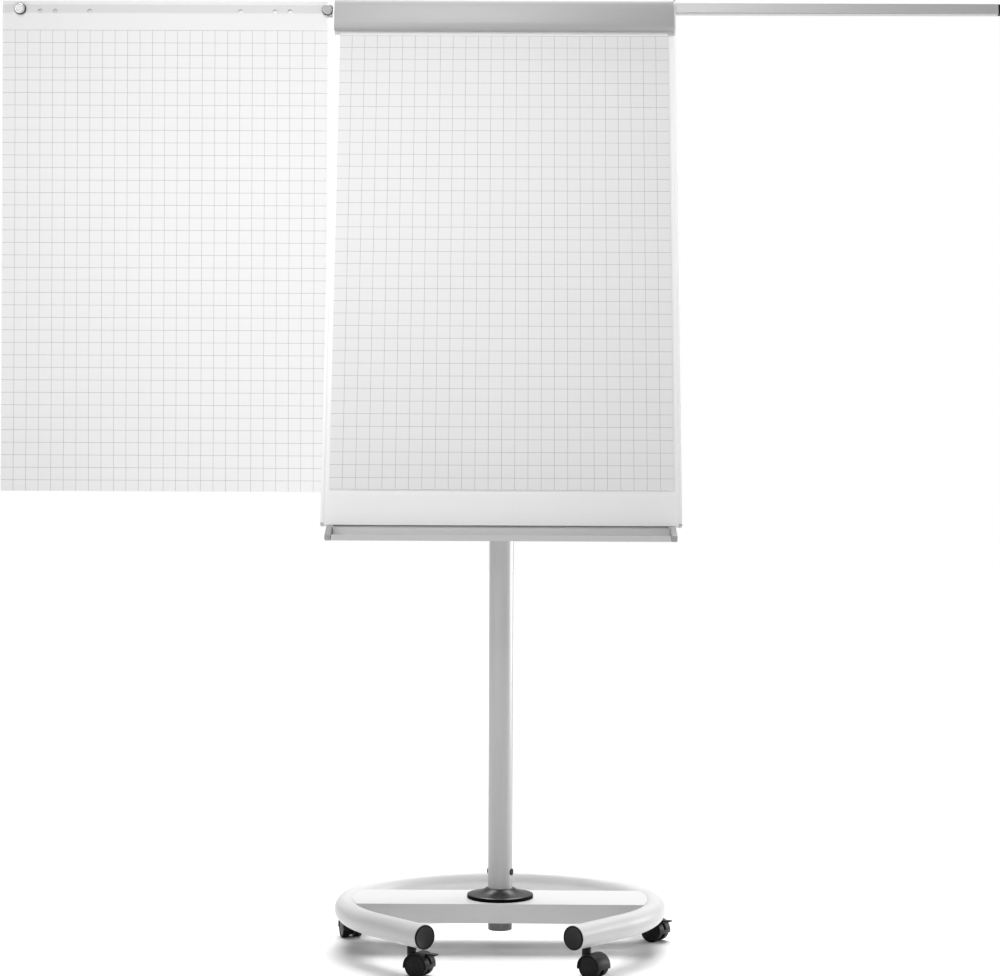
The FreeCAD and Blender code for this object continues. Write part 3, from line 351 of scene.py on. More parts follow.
@dataclass(frozen=True)
class PrintedPaper:
    """White paper with printed squares, in the plane of the board or of the hanging sheet."""

    name: str
    turn: float
    shift: Point
    print_front: float
    lightness: float = 0.93
    ink: float = 0.6
    line_width: float = 0.0006
    # shade_low, shade_high and shade_contrast place and darken a band of painted shade, the arm's shadow seen
    # through the paper.
    shade_low: float = 0.0
    shade_high: float = 0.0
    roughness: float = 0.62
    specular: float = 0.3
    fibre_contrast: float = 0.03
    shade_contrast: float = 0.07
    bump: float = 0.03
    fibre_depth: float = 0.0002

    def material(self) -> bpy.types.Material:
        """Material of this paper, made once.

        Returns:
            The material.
        """
        made = bpy.data.materials.get(self.name)
        if made is not None:
            return made
        made = bpy.data.materials.new(self.name)
        made.use_nodes = True
        nodes, links = made.node_tree.nodes, made.node_tree.links
        shader = nodes["Principled BSDF"]
        shader.inputs["Roughness"].default_value = self.roughness
        shader.inputs["Specular IOR Level"].default_value = self.specular
        place = nodes.new("ShaderNodeTexCoord")
        mapping = nodes.new("ShaderNodeMapping")
        mapping.inputs["Rotation"].default_value = (self.turn, 0.0, 0.0)
        mapping.inputs["Location"].default_value = self.shift
        squares = nodes.new("ShaderNodeGroup")
        squares.node_tree = bpy.data.node_groups["squared_print"]
        squares.inputs["Paper Colour"].default_value = grey(self.lightness)
        squares.inputs["Fibre Colour"].default_value = grey(self.lightness - self.fibre_contrast)
        squares.inputs["Ink Colour"].default_value = grey(self.ink)
        squares.inputs["Line Width"].default_value = self.line_width
        squares.inputs["Shade Low"].default_value = self.shade_low
        squares.inputs["Shade High"].default_value = self.shade_high
        squares.inputs["Shade Colour"].default_value = grey(self.lightness - self.shade_contrast)
        squares.inputs["Print Front"].default_value = self.print_front
        bump = nodes.new("ShaderNodeBump")
        bump.inputs["Strength"].default_value = self.bump
        bump.inputs["Distance"].default_value = self.fibre_depth
        links.new(place.outputs["Object"], mapping.inputs["Vector"])
        links.new(mapping.outputs["Vector"], squares.inputs["Vector"])
        links.new(squares.outputs["Color"], shader.inputs["Base Color"])
        links.new(squares.outputs["Height"], bump.inputs["Height"])
        links.new(bump.outputs["Normal"], shader.inputs["Normal"])
        return made


@dataclass(frozen=True)
class FinishSet:
    """Every finish on the easel."""

    ring: Finish = Finish("white_ring_coat", 0.84, 0.01, roughness=0.34, coat=0.15, grain_scale=260.0, bump=0.04)
    bar: Finish = Finish("white_bar_coat", 0.84, 0.01, roughness=0.36, coat=0.12, grain_scale=260.0, bump=0.04)
    pole: Finish = Finish("satin_pole", 0.73, 0.02, metallic=0.5, roughness=0.36, bump=0.05, run=Run.ALONG_Z)
    inner: Finish = Finish("bright_inner_tube", 0.78, 0.03, metallic=0.9, roughness=0.22, bump=0.05,
                           run=Run.ALONG_Z)
    rail: Finish = Finish("mill_rail", 0.8, 0.03, metallic=0.7, roughness=0.36, bump=0.06, run=Run.ALONG_X)
    arm: Finish = Finish("anodised_arm", 0.74, 0.02, metallic=0.35, roughness=0.42, bump=0.05, run=Run.ALONG_X)
    clamp: Finish = Finish("anodised_clamp", 0.66, 0.012, metallic=0.3, roughness=0.5, bump=0.05,
                           run=Run.ALONG_X)
    tray: Finish = Finish("anodised_tray", 0.76, 0.02, metallic=0.35, roughness=0.42, bump=0.05,
                          run=Run.ALONG_X)
    edge: Finish = Finish("white_edge", 0.92, 0.01, metallic=0.1, roughness=0.4, bump=0.03, run=Run.ALONG_Z)
    face: Finish = Finish("lacquered_face", 0.95, 0.008, roughness=0.3, spread=0.04, coat=0.25, patch_scale=2.0,
                          grain_scale=160.0, bump=0.015)
    core: Finish = Finish("backing_panel", 0.74, 0.02, roughness=0.55, grain_scale=500.0, bump=0.08)
    black: Finish = Finish("black_moulding", 0.06, 0.02, specular=0.18, roughness=0.42, spread=0.12,
                           grain_scale=1500.0, bump=0.18)
    satin_black: Finish = Finish("satin_flange", 0.03, 0.015, specular=0.45, roughness=0.28,
                                 grain_scale=1200.0, bump=0.08)
    # Copy of the flange's black with its reflection nearly turned off, used on the upright rim as painted shade.
    matt_black: Finish = Finish("matt_black_moulding", 0.03, 0.015, specular=0.04, roughness=0.5, spread=0.1,
                                grain_scale=1200.0, bump=0.1)
    charcoal: Finish = Finish("charcoal_plug", 0.17, 0.02, specular=0.2, roughness=0.5, spread=0.1,
                              grain_scale=1300.0, bump=0.2)
    hood: Finish = Finish("castor_hood_moulding", 0.09, 0.02, specular=0.22, roughness=0.36, spread=0.1,
                          grain_scale=1300.0, bump=0.12)
    tyre: Finish = Finish("wheel_tread", 0.04, 0.02, specular=0.25, roughness=0.55, spread=0.15,
                          grain_scale=900.0, bump=0.25)
    disc: Finish = Finish("wheel_disc", 0.06, 0.015, specular=0.2, roughness=0.34, grain_scale=1500.0, bump=0.1)
    tray_end: Finish = Finish("grey_tray_end", 0.6, 0.02, spread=0.1, grain_scale=1300.0, bump=0.12)
    light_grey: Finish = Finish("grey_moulding", 0.72, 0.02, spread=0.1, grain_scale=1300.0, bump=0.12)
    mid_grey: Finish = Finish("grey_bush", 0.5, 0.02, roughness=0.5, spread=0.1, grain_scale=1300.0, bump=0.12)
    bracket: Finish = Finish("black_bracket_coat", 0.24, 0.02, roughness=0.48, coat=0.1, grain_scale=320.0,
                             bump=0.1)
    head: Finish = Finish("grey_head_coat", 0.45, 0.02, roughness=0.42, coat=0.1, grain_scale=320.0, bump=0.08)
    zinc: Finish = Finish("zinc_plate", 0.72, 0.05, warmth=0.02, metallic=1.0, roughness=0.32, spread=0.14,
                          patch_scale=60.0, bump=0.05)
    nut: Finish = Finish("grey_foot_nut", 0.5, 0.03, metallic=0.2, roughness=0.45, bump=0.06)
    turned: Finish = Finish("turned_metal", 0.72, 0.05, metallic=0.85, roughness=0.28, grain_scale=1100.0,
                            bump=0.08)
    # The pad's paper is the same as the loose sheet's but set darker (0.9 against 0.93), as painted shade.
    pad_paper: PrintedPaper = PrintedPaper(
        "pad_print", BOARD_TILT,
        (0.0, math.sin(BOARD_TILT) * HINGE_HEIGHT, -math.cos(BOARD_TILT) * HINGE_HEIGHT), -0.069, lightness=0.9)
    # The sheet's band of painted shade lies across it where the left arm is behind it.
    sheet_paper: PrintedPaper = PrintedPaper(
        "sheet_print", 0.0, (0.678, 0.0, -1.3894), 1.0, shade_low=0.4551, shade_high=0.4746)


# ---------------------------------------------------------------------------
# Modelling bench
# ---------------------------------------------------------------------------
class Bench:
    """Mesh work with the modelling operators."""

    MERGE_DISTANCE: float = 0.00001
    FLAT_ANGLE: float = 0.5
    CORNER_ANGLE: float = 32.0
    SMOOTH_ANGLE: float = 35.0

    @staticmethod
    def clear() -> None:
        """Leave nothing selected."""
        bpy.ops.object.select_all(action="DESELECT")

    @staticmethod
    def hold(piece: bpy.types.Object) -> None:
        """Select one piece only and make it active."""
        Bench.clear()
        piece.select_set(True)
        bpy.context.view_layer.objects.active = piece

    @staticmethod
    def named(name: str) -> bpy.types.Object:
        """Name the object just added and its mesh."""
        piece = bpy.context.active_object
        piece.name = name
        piece.data.name = name
        return piece

    @staticmethod
    def drum(name: str, radius: float, low: float, high: float, sides: int = 64) -> bpy.types.Object:
        """Cylinder along Y between two depths, its axis on X = Z = 0.

        Args:
            name: Name of the piece.
            radius: Radius.
            low: Where it starts.
            high: Where it ends.
            sides: Number of sides.

        Returns:
            The new object.
        """
        Bench.clear()
        bpy.ops.mesh.primitive_cylinder_add(vertices=sides, radius=radius, depth=high - low,
                                            location=(0, (low + high) / 2, 0), rotation=(math.pi / 2, 0, 0))
        piece = Bench.named(name)
        Bench.settle(piece)
        return piece

    @staticmethod
    def settle(piece: bpy.types.Object) -> None:
        """Apply the object's place, turn and scale to its mesh."""
        Bench.hold(piece)
        bpy.ops.object.transform_apply(location=True, rotation=True, scale=True)

    @staticmethod
    def place(piece: bpy.types.Object, matrix: Matrix) -> None:
        """Move the mesh by a matrix, with the object left at the origin."""
        piece.matrix_world = matrix
        Bench.settle(piece)

    @staticmethod
    def pick(piece: bpy.types.Object, kind: Pick, test: Callable[[object], bool]) -> None:
        """Select the elements that pass a test, in edit mode.

        Args:
            piece: Piece in edit mode.
            kind: Kind of element.
            test: Says whether an element is taken.
        """
        bpy.ops.mesh.select_mode(type=kind.name)
        bpy.ops.mesh.select_all(action="DESELECT")
        net = bmesh.from_edit_mesh(piece.data)
        net.normal_update()
        for element in getattr(net, kind.value):
            if test(element):
                element.select_set(True)
        net.select_flush_mode()
        bmesh.update_edit_mesh(piece.data)

    @staticmethod
    def round_rims(piece: bpy.types.Object, width: float, segments: int) -> None:
        """Round both rims of a drum in edit mode."""
        Bench.pick(piece, Pick.EDGE, lambda edge: abs(edge.verts[0].co.y - edge.verts[1].co.y) < LEVEL)
        bpy.ops.mesh.bevel(offset=width, segments=segments, affect="EDGES")

    @staticmethod
    def edit(piece: bpy.types.Object) -> None:
        """Go into edit mode on a piece."""
        Bench.hold(piece)
        bpy.ops.object.mode_set(mode="EDIT")

    @staticmethod
    def done() -> None:
        """Leave edit mode."""
        bpy.ops.object.mode_set(mode="OBJECT")

    @staticmethod
    def modify(piece: bpy.types.Object, kind: str, **values: object) -> None:
        """Add a modifier, set it and apply it.

        Args:
            piece: Piece to change.
            kind: Modifier type.
            values: Its properties.
        """
        Bench.hold(piece)
        modifier = piece.modifiers.new(kind.lower(), kind)
        for name, value in values.items():
            setattr(modifier, name, value)
        bpy.ops.object.modifier_apply(modifier=modifier.name)

    @staticmethod
    def smooth(piece: bpy.types.Object, angle: float = SMOOTH_ANGLE) -> None:
        """Shade smooth except over sharp corners."""
        Bench.hold(piece)
        bpy.ops.object.shade_smooth_by_angle(angle=math.radians(angle))

    @staticmethod
    def copy(piece: bpy.types.Object, name: str) -> bpy.types.Object:
        """Copy a piece with its own mesh."""
        made = piece.copy()
        made.data = piece.data.copy()
        made.name = name
        made.data.name = name
        bpy.context.scene.collection.objects.link(made)
        return made

    @staticmethod
    def join(name: str, pieces: Sequence[bpy.types.Object]) -> bpy.types.Object:
        """Join pieces into one object."""
        Bench.clear()
        for piece in pieces:
            piece.select_set(True)
        bpy.context.view_layer.objects.active = pieces[0]
        bpy.ops.object.join()
        return Bench.named(name)

    @staticmethod
    def softened(node: str, name: str, width: float, segments: int = 2) -> bpy.types.Object:
        """Copy of a CAD node with rounded edges.

        Args:
            node: CAD node to copy.
            name: Name of the copy.
            width: Width of the rounding.
            segments: Steps in the rounding.

        Returns:
            The copy, not yet riding on a body.
        """
        source = frame["nodes"][node]
        mesh = source.data.copy()
        mesh.materials.clear()
        piece = bpy.data.objects.new(name, mesh)
        mesh.name = name
        bpy.context.scene.collection.objects.link(piece)
        Bench.edit(piece)
        bpy.ops.mesh.select_all(action="SELECT")
        bpy.ops.mesh.remove_doubles(threshold=Bench.MERGE_DISTANCE)
        bpy.ops.mesh.dissolve_limited(angle_limit=math.radians(Bench.FLAT_ANGLE))
        Bench.done()
        Bench.modify(piece, "BEVEL", width=width, segments=segments, limit_method="ANGLE",
                     angle_limit=math.radians(Bench.CORNER_ANGLE), use_clamp_overlap=True)
        Bench.smooth(piece)
        return piece

    @staticmethod
    def ribbon(name: str, width: float, line: Sequence[tuple[float, float]]) -> bpy.types.Object:
        """Strip across X that follows a line of depths and heights, drawn out edge by edge.

        Args:
            name: Name of the piece.
            width: Width across X.
            line: Depth and height of each step.

        Returns:
            The strip, one face thick.
        """
        Bench.clear()
        bpy.ops.mesh.primitive_plane_add(size=1.0)
        piece = Bench.named(name)
        Bench.edit(piece)
        bpy.ops.mesh.select_all(action="SELECT")
        bpy.ops.transform.resize(value=(width, 1.0, 1.0))
        for near, (depth, height) in zip((-0.5, 0.5), line[:2]):
            Bench.pick(piece, Pick.EDGE, lambda edge: all(abs(v.co.y - near) < SAME_PLACE for v in edge.verts))
            bpy.ops.transform.translate(value=(0.0, depth - near, height))
        for (from_depth, from_height), (depth, height) in zip(line[1:], line[2:]):
            bpy.ops.mesh.extrude_region_move(
                TRANSFORM_OT_translate={"value": (0.0, depth - from_depth, height - from_height)})
        Bench.done()
        return piece


def lean_with_board() -> Matrix:
    """Place of a piece drawn square to the board, its origin at the hinge pin."""
    return Matrix.Translation((0, 0, HINGE_HEIGHT)) @ Matrix.Rotation(-BOARD_TILT, 4, "X")


def dress(piece: bpy.types.Object, finish: object) -> None:
    """Give the whole piece one finish."""
    piece.data.materials.clear()
    piece.data.materials.append(finish.material())


def dress_node(node: str, finish: object) -> None:
    """Give a carried-over CAD node its finish."""
    made = finish.material()
    slots = frame["nodes"][node].material_slots
    if slots:
        for slot in slots:
            slot.material = made
    else:
        frame["nodes"][node].data.materials.append(made)


def report(piece: bpy.types.Object, body: str, nodes: Iterable[str] = ()) -> None:
    """Hang a finished piece on its body and log it.

    Args:
        piece: The piece.
        body: Body it rides on.
        nodes: CAD nodes it stands for.
    """
    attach(piece, body)
    for node in nodes:
        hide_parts(node)
    LOG.info("piece %s rides on %s", piece.name, body)


# ---------------------------------------------------------------------------
# Sub-assemblies
# ---------------------------------------------------------------------------
@dataclass
class Base:
    """Open ring, cross bar, end plugs, flange and foot nut."""

    finishes: FinishSet
    plug_rounding: float = 0.0011
    plug_turn: float = 50.0
    plug_cap: float = 0.0004
    plug_rim: float = 0.0016
    plug_bevel: float = 0.0006
    plug_sink: float = 0.0008
    flange_line: tuple[tuple[float, float], ...] = (
        (0.0647, 0.0064), (0.0638, 0.0072), (0.0580, 0.0080), (0.0520, 0.0090), (0.0460, 0.0103),
        (0.0405, 0.0119), (0.0360, 0.0137), (0.0325, 0.0156), (0.0300, 0.0172), (0.0285, 0.0184),
        (0.0270, 0.0190))
    flange_bore: float = 0.0242
    flange_bore_low: float = -0.01
    flange_bore_high: float = 0.04
    flange_rim_top: float = 0.0065
    upright: float = 0.1
    nut_rounding: float = 0.0012

    def build(self) -> None:
        """Dress the tubes and round the moulded pieces."""
        dress_node("base_ring", self.finishes.ring)
        dress_node("base_cross_bar", self.finishes.bar)
        dress_node("pole_spigot", self.finishes.zinc)
        dress_node("pole_cross_bolt", self.finishes.zinc)
        dress_node("cross_bolt_plugs", self.finishes.black)
        for side in Side:
            self.end_plug(side)
        self.flange()
        nut = Bench.softened("foot_nut", "foot_nut_turned", self.nut_rounding, 3)
        dress(nut, self.finishes.nut)
        report(nut, "base", ["foot_nut"])

    def flange(self) -> None:
        """Cover over the pole's foot: an upright rim and a hollowed rise to the pole."""
        low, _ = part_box("flange_cover")
        radius, rim = self.flange_line[0]
        cover = Bench.drum("flange_cover_moulded", radius, 0.0, rim, 96)
        Bench.edit(cover)
        Bench.pick(cover, Pick.FACE, lambda face: face.normal.y > FACING)
        for (outer, below), (inner, above) in zip(self.flange_line, self.flange_line[1:]):
            bpy.ops.mesh.inset(thickness=outer - inner, depth=above - below)
        Bench.done()
        bore = Bench.drum("flange_bore", self.flange_bore, self.flange_bore_low, self.flange_bore_high)
        Bench.modify(cover, "BOOLEAN", operation="DIFFERENCE", object=bore, solver="EXACT")
        bpy.data.objects.remove(bore)
        cover.data.materials.clear()
        cover.data.materials.append(self.finishes.satin_black.material())
        cover.data.materials.append(self.finishes.matt_black.material())
        # Painted shade: the upright rim faces take the unreflective copy of the same black, so they read darker
        # than the rise, as if mirroring dark surroundings.
        Bench.edit(cover)
        Bench.pick(cover, Pick.FACE, lambda face: abs(face.normal.y) < self.upright
                   and face.calc_center_median().y < self.flange_rim_top)
        cover.active_material_index = 1
        bpy.ops.object.material_slot_assign()
        Bench.done()
        Bench.smooth(cover)
        Bench.place(cover, Matrix.Translation((0, 0, low.z)) @ Matrix.Rotation(math.pi / 2, 4, "X"))
        report(cover, "base", ["flange_cover"])

    def end_plug(self, side: Side) -> None:
        """Round plug in one cut end of the ring, with a sunk charcoal face in a black rim."""
        node = "ring_end_cap_" + side.value
        plug = Bench.softened(node, node + "_moulded", self.plug_rounding, 3)
        turn = math.radians(self.plug_turn) * side.sign
        outward = Vector((-math.cos(turn) * side.sign, -math.sin(turn) * side.sign, 0.0))
        reach = max(vertex.co.dot(outward) for vertex in plug.data.vertices)
        Bench.edit(plug)
        Bench.pick(plug, Pick.FACE, lambda face: face.normal.dot(outward) > FACING
                   and face.calc_center_median().dot(outward) > reach - self.plug_cap)
        bpy.ops.mesh.inset(thickness=self.plug_rim, depth=0.0)
        bpy.ops.mesh.inset(thickness=self.plug_bevel, depth=-self.plug_sink)
        plug.data.materials.append(self.finishes.black.material())
        plug.data.materials.append(self.finishes.charcoal.material())
        plug.active_material_index = 1
        bpy.ops.object.material_slot_assign()
        Bench.done()
        Bench.smooth(plug)
        report(plug, "base", [node])


@dataclass
class Castors:
    """Five twin castors: hoods, wheels and brake levers."""

    finishes: FinishSet
    wheel_radius: float = 0.021
    inner_face: float = 0.005
    outer_face: float = 0.0195
    axle_radius: float = 0.003
    tread_rounding: float = 0.0014
    rim_width: float = 0.0026
    face_sink: float = 0.0011
    face_bevel: float = 0.0007
    face_width: float = 0.0095
    face_dome: float = 0.0003
    hub_bevel: float = 0.0006
    hub_share: float = 0.6
    axle_inset: float = 0.003
    axle_rounding: float = 0.0005
    hood_rounding: float = 0.0005
    brake_rounding: float = 0.0009
    smooth_angle: float = 30.0
    braked: tuple[Station, ...] = (Station.FRONT_LEFT, Station.RIGHT)

    def wheel(self) -> bpy.types.Object:
        """One wheel of a pair, along Y from its inner to its outer face.

        Returns:
            The wheel, with a tread and a sunk disc.
        """
        wheel = Bench.drum("castor_wheel", self.wheel_radius, self.inner_face, self.outer_face, 72)
        wheel.data.materials.append(self.finishes.tyre.material())
        wheel.data.materials.append(self.finishes.disc.material())
        Bench.edit(wheel)
        Bench.round_rims(wheel, self.tread_rounding, 4)
        for outward in (1.0, -1.0):
            Bench.pick(wheel, Pick.FACE, lambda face: face.normal.y * outward > FACING)
            bpy.ops.mesh.inset(thickness=self.rim_width - self.tread_rounding, depth=0.0)
            bpy.ops.mesh.inset(thickness=self.face_bevel, depth=-self.face_sink)
            wheel.active_material_index = 1
            bpy.ops.object.material_slot_assign()
            bpy.ops.mesh.inset(thickness=self.face_width, depth=self.face_dome)
            bpy.ops.mesh.inset(thickness=self.hub_bevel, depth=self.face_sink * self.hub_share)
        Bench.done()
        Bench.smooth(wheel, self.smooth_angle)
        return wheel

    def build(self) -> None:
        """Make one pair of wheels, copy it to each station, and round the hoods."""
        near = self.wheel()
        far = Bench.copy(near, "castor_wheel_far")
        Bench.place(far, Matrix.Rotation(math.pi, 4, "Z"))
        axle_end = self.outer_face - self.axle_inset
        axle = Bench.drum("castor_axle", self.axle_radius, -axle_end, axle_end, 24)
        Bench.edit(axle)
        Bench.round_rims(axle, self.axle_rounding, 2)
        Bench.done()
        dress(axle, self.finishes.zinc)
        pair = Bench.join("castor_pair", [near, far, axle])
        joints = {joint["name"]: joint for joint in frame["record"]["behaviour"]["joints"]}
        for station in Station:
            joint = joints["roll_" + station.value]
            turn = math.atan2(-joint["axis"][0], joint["axis"][1])
            wheels = Bench.copy(pair, "castor_wheels_%s_made" % station.value)
            Bench.place(wheels, Matrix.Translation(joint["pos_m"]) @ Matrix.Rotation(turn, 4, "Z"))
            report(wheels, "wheels_" + station.value, ["castor_wheels_" + station.value])
            self.hood(station)
            dress_node("castor_socket_" + station.value, self.finishes.black)
        bpy.data.objects.remove(pair)

    def hood(self, station: Station) -> None:
        """Rounded hood of one castor, with its brake lever where it has one."""
        node = "castor_housing_" + station.value
        hood = Bench.softened(node, node + "_moulded", self.hood_rounding)
        dress(hood, self.finishes.hood)
        report(hood, "castor_" + station.value, [node])
        if station in self.braked:
            node = "castor_brake_" + station.value
            lever = Bench.softened(node, node + "_moulded", self.brake_rounding, 3)
            dress(lever, self.finishes.hood)
            report(lever, "brake_" + station.value, [node])


@dataclass
class Pole:
    """Outer and inner tube, bush, clamp collar, knobs, tilt head and bracket."""

    finishes: FinishSet
    collar_rounding: float = 0.0018
    knob_rounding: float = 0.0016
    head_rounding: float = 0.001
    bracket_rounding: float = 0.0008

    def build(self) -> None:
        """Dress the tubes and round the collar, knobs and head."""
        dress_node("outer_pole", self.finishes.pole)
        dress_node("inner_pole", self.finishes.inner)
        dress_node("guide_bush", self.finishes.mid_grey)
        dress_node("hinge_pin", self.finishes.zinc)
        dress_node("bracket_screws", self.finishes.zinc)
        for node, body, slot, finish, width in (
                ("clamp_collar", "base", "black_plastic", self.finishes.black, self.collar_rounding),
                ("height_clamp_knob", "height_knob", "black_plastic", self.finishes.black, self.knob_rounding),
                ("tilt_clamp_knob", "tilt_knob", "black_plastic", self.finishes.black, self.knob_rounding),
                ("tilt_head", "mast", "grey_steel", self.finishes.head, self.head_rounding),
                ("board_bracket", "board", "bracket_steel", self.finishes.bracket, self.bracket_rounding)):
            piece = Bench.softened(node, node + "_finished", width, 3)
            dress(piece, finish)
            report(piece, body, [node])


@dataclass
class Board:
    """Writing face, core, edge profiles, corners, pad, clamp bar and tray."""

    finishes: FinishSet
    clamp_width: float = 0.671
    clamp_wall: float = 0.0022
    clamp_corner: float = 0.0045
    clamp_line: tuple[tuple[float, float], ...] = (
        (-0.0703, 0.4310), (-0.0790, 0.4316), (-0.0835, 0.4370), (-0.0848, 0.4460), (-0.0849, 0.4590),
        (-0.0843, 0.4710), (-0.0831, 0.4830), (-0.0810, 0.4920), (-0.0768, 0.4975), (-0.0690, 0.4988))
    clamp_edge: float = 0.0005
    clamp_edge_angle: float = 50.0
    clamp_smooth_angle: float = 40.0
    clamp_corner_band: float = 0.0012
    clamp_corner_depth: float = -0.075
    clamp_front_low: float = 0.445
    clamp_front_high: float = 0.47
    cap_rounding: float = 0.0030
    corner_rounding: float = 0.0009

    def build(self) -> None:
        """Dress the panel and make the clamp bar, tray ends and corners."""
        dress_node("writing_surface", self.finishes.face)
        dress_node("board_core", self.finishes.core)
        for side in Side:
            dress_node("side_profile_" + side.value, self.finishes.edge)
            dress_node("pad_hook_" + side.value, self.finishes.zinc)
            self.tray_end(side)
        corners = Bench.softened("corner_pieces", "corner_pieces_moulded", self.corner_rounding, 3)
        dress(corners, self.finishes.light_grey)
        report(corners, "board", ["corner_pieces"])
        dress_node("clamp_hinge_blocks", self.finishes.light_grey)
        dress_node("pen_tray", self.finishes.tray)
        dress_node("paper_pad", self.finishes.pad_paper)
        self.clamp_bar()

    def clamp_bar(self) -> None:
        """Convex bar drawn out along its section, with rounded lower corners."""
        bar = Bench.ribbon("clamp_bar_drawn", self.clamp_width, self.clamp_line)
        Bench.edit(bar)
        low = self.clamp_line[0][1] + self.clamp_corner_band
        end = self.clamp_width / 2 - SAME_PLACE
        Bench.pick(bar, Pick.VERT, lambda vert: abs(vert.co.x) > end and vert.co.z < low
                   and vert.co.y < self.clamp_corner_depth)
        bpy.ops.mesh.bevel(offset=self.clamp_corner, segments=3, affect="VERTICES")
        bpy.ops.mesh.select_all(action="SELECT")
        bpy.ops.mesh.normals_make_consistent(inside=False)
        Bench.done()
        front = [face for face in bar.data.polygons
                 if self.clamp_front_low < face.center.z < self.clamp_front_high]
        inward = 1.0 if front and front[0].normal.y > 0 else -1.0
        Bench.modify(bar, "SOLIDIFY", thickness=self.clamp_wall, offset=inward)
        Bench.modify(bar, "BEVEL", width=self.clamp_edge, segments=2, limit_method="ANGLE",
                     angle_limit=math.radians(self.clamp_edge_angle))
        Bench.smooth(bar, self.clamp_smooth_angle)
        dress(bar, self.finishes.clamp)
        Bench.place(bar, lean_with_board())
        report(bar, "clamp", ["clamp_bar"])

    def tray_end(self, side: Side) -> None:
        """Moulded end of the tray, rounded towards the outside."""
        node = "tray_end_cap_" + side.value
        cap = Bench.softened(node, node + "_moulded", self.cap_rounding, 4)
        dress(cap, self.finishes.tray_end)
        report(cap, "board", [node])


@dataclass
class Arms:
    """Two grooved arms, their end caps and the rail that holds them."""

    finishes: FinishSet
    cap_rounding: float = 0.0014

    def build(self) -> None:
        """Dress the extrusions and round the caps."""
        dress_node("arm_rail", self.finishes.rail)
        for side in Side:
            dress_node(side.value + "_arm", self.finishes.arm)
            node = side.value + "_arm_cap"
            cap = Bench.softened(node, node + "_moulded", self.cap_rounding, 3)
            dress(cap, self.finishes.black)
            report(cap, side.value + "_arm_body", [node])


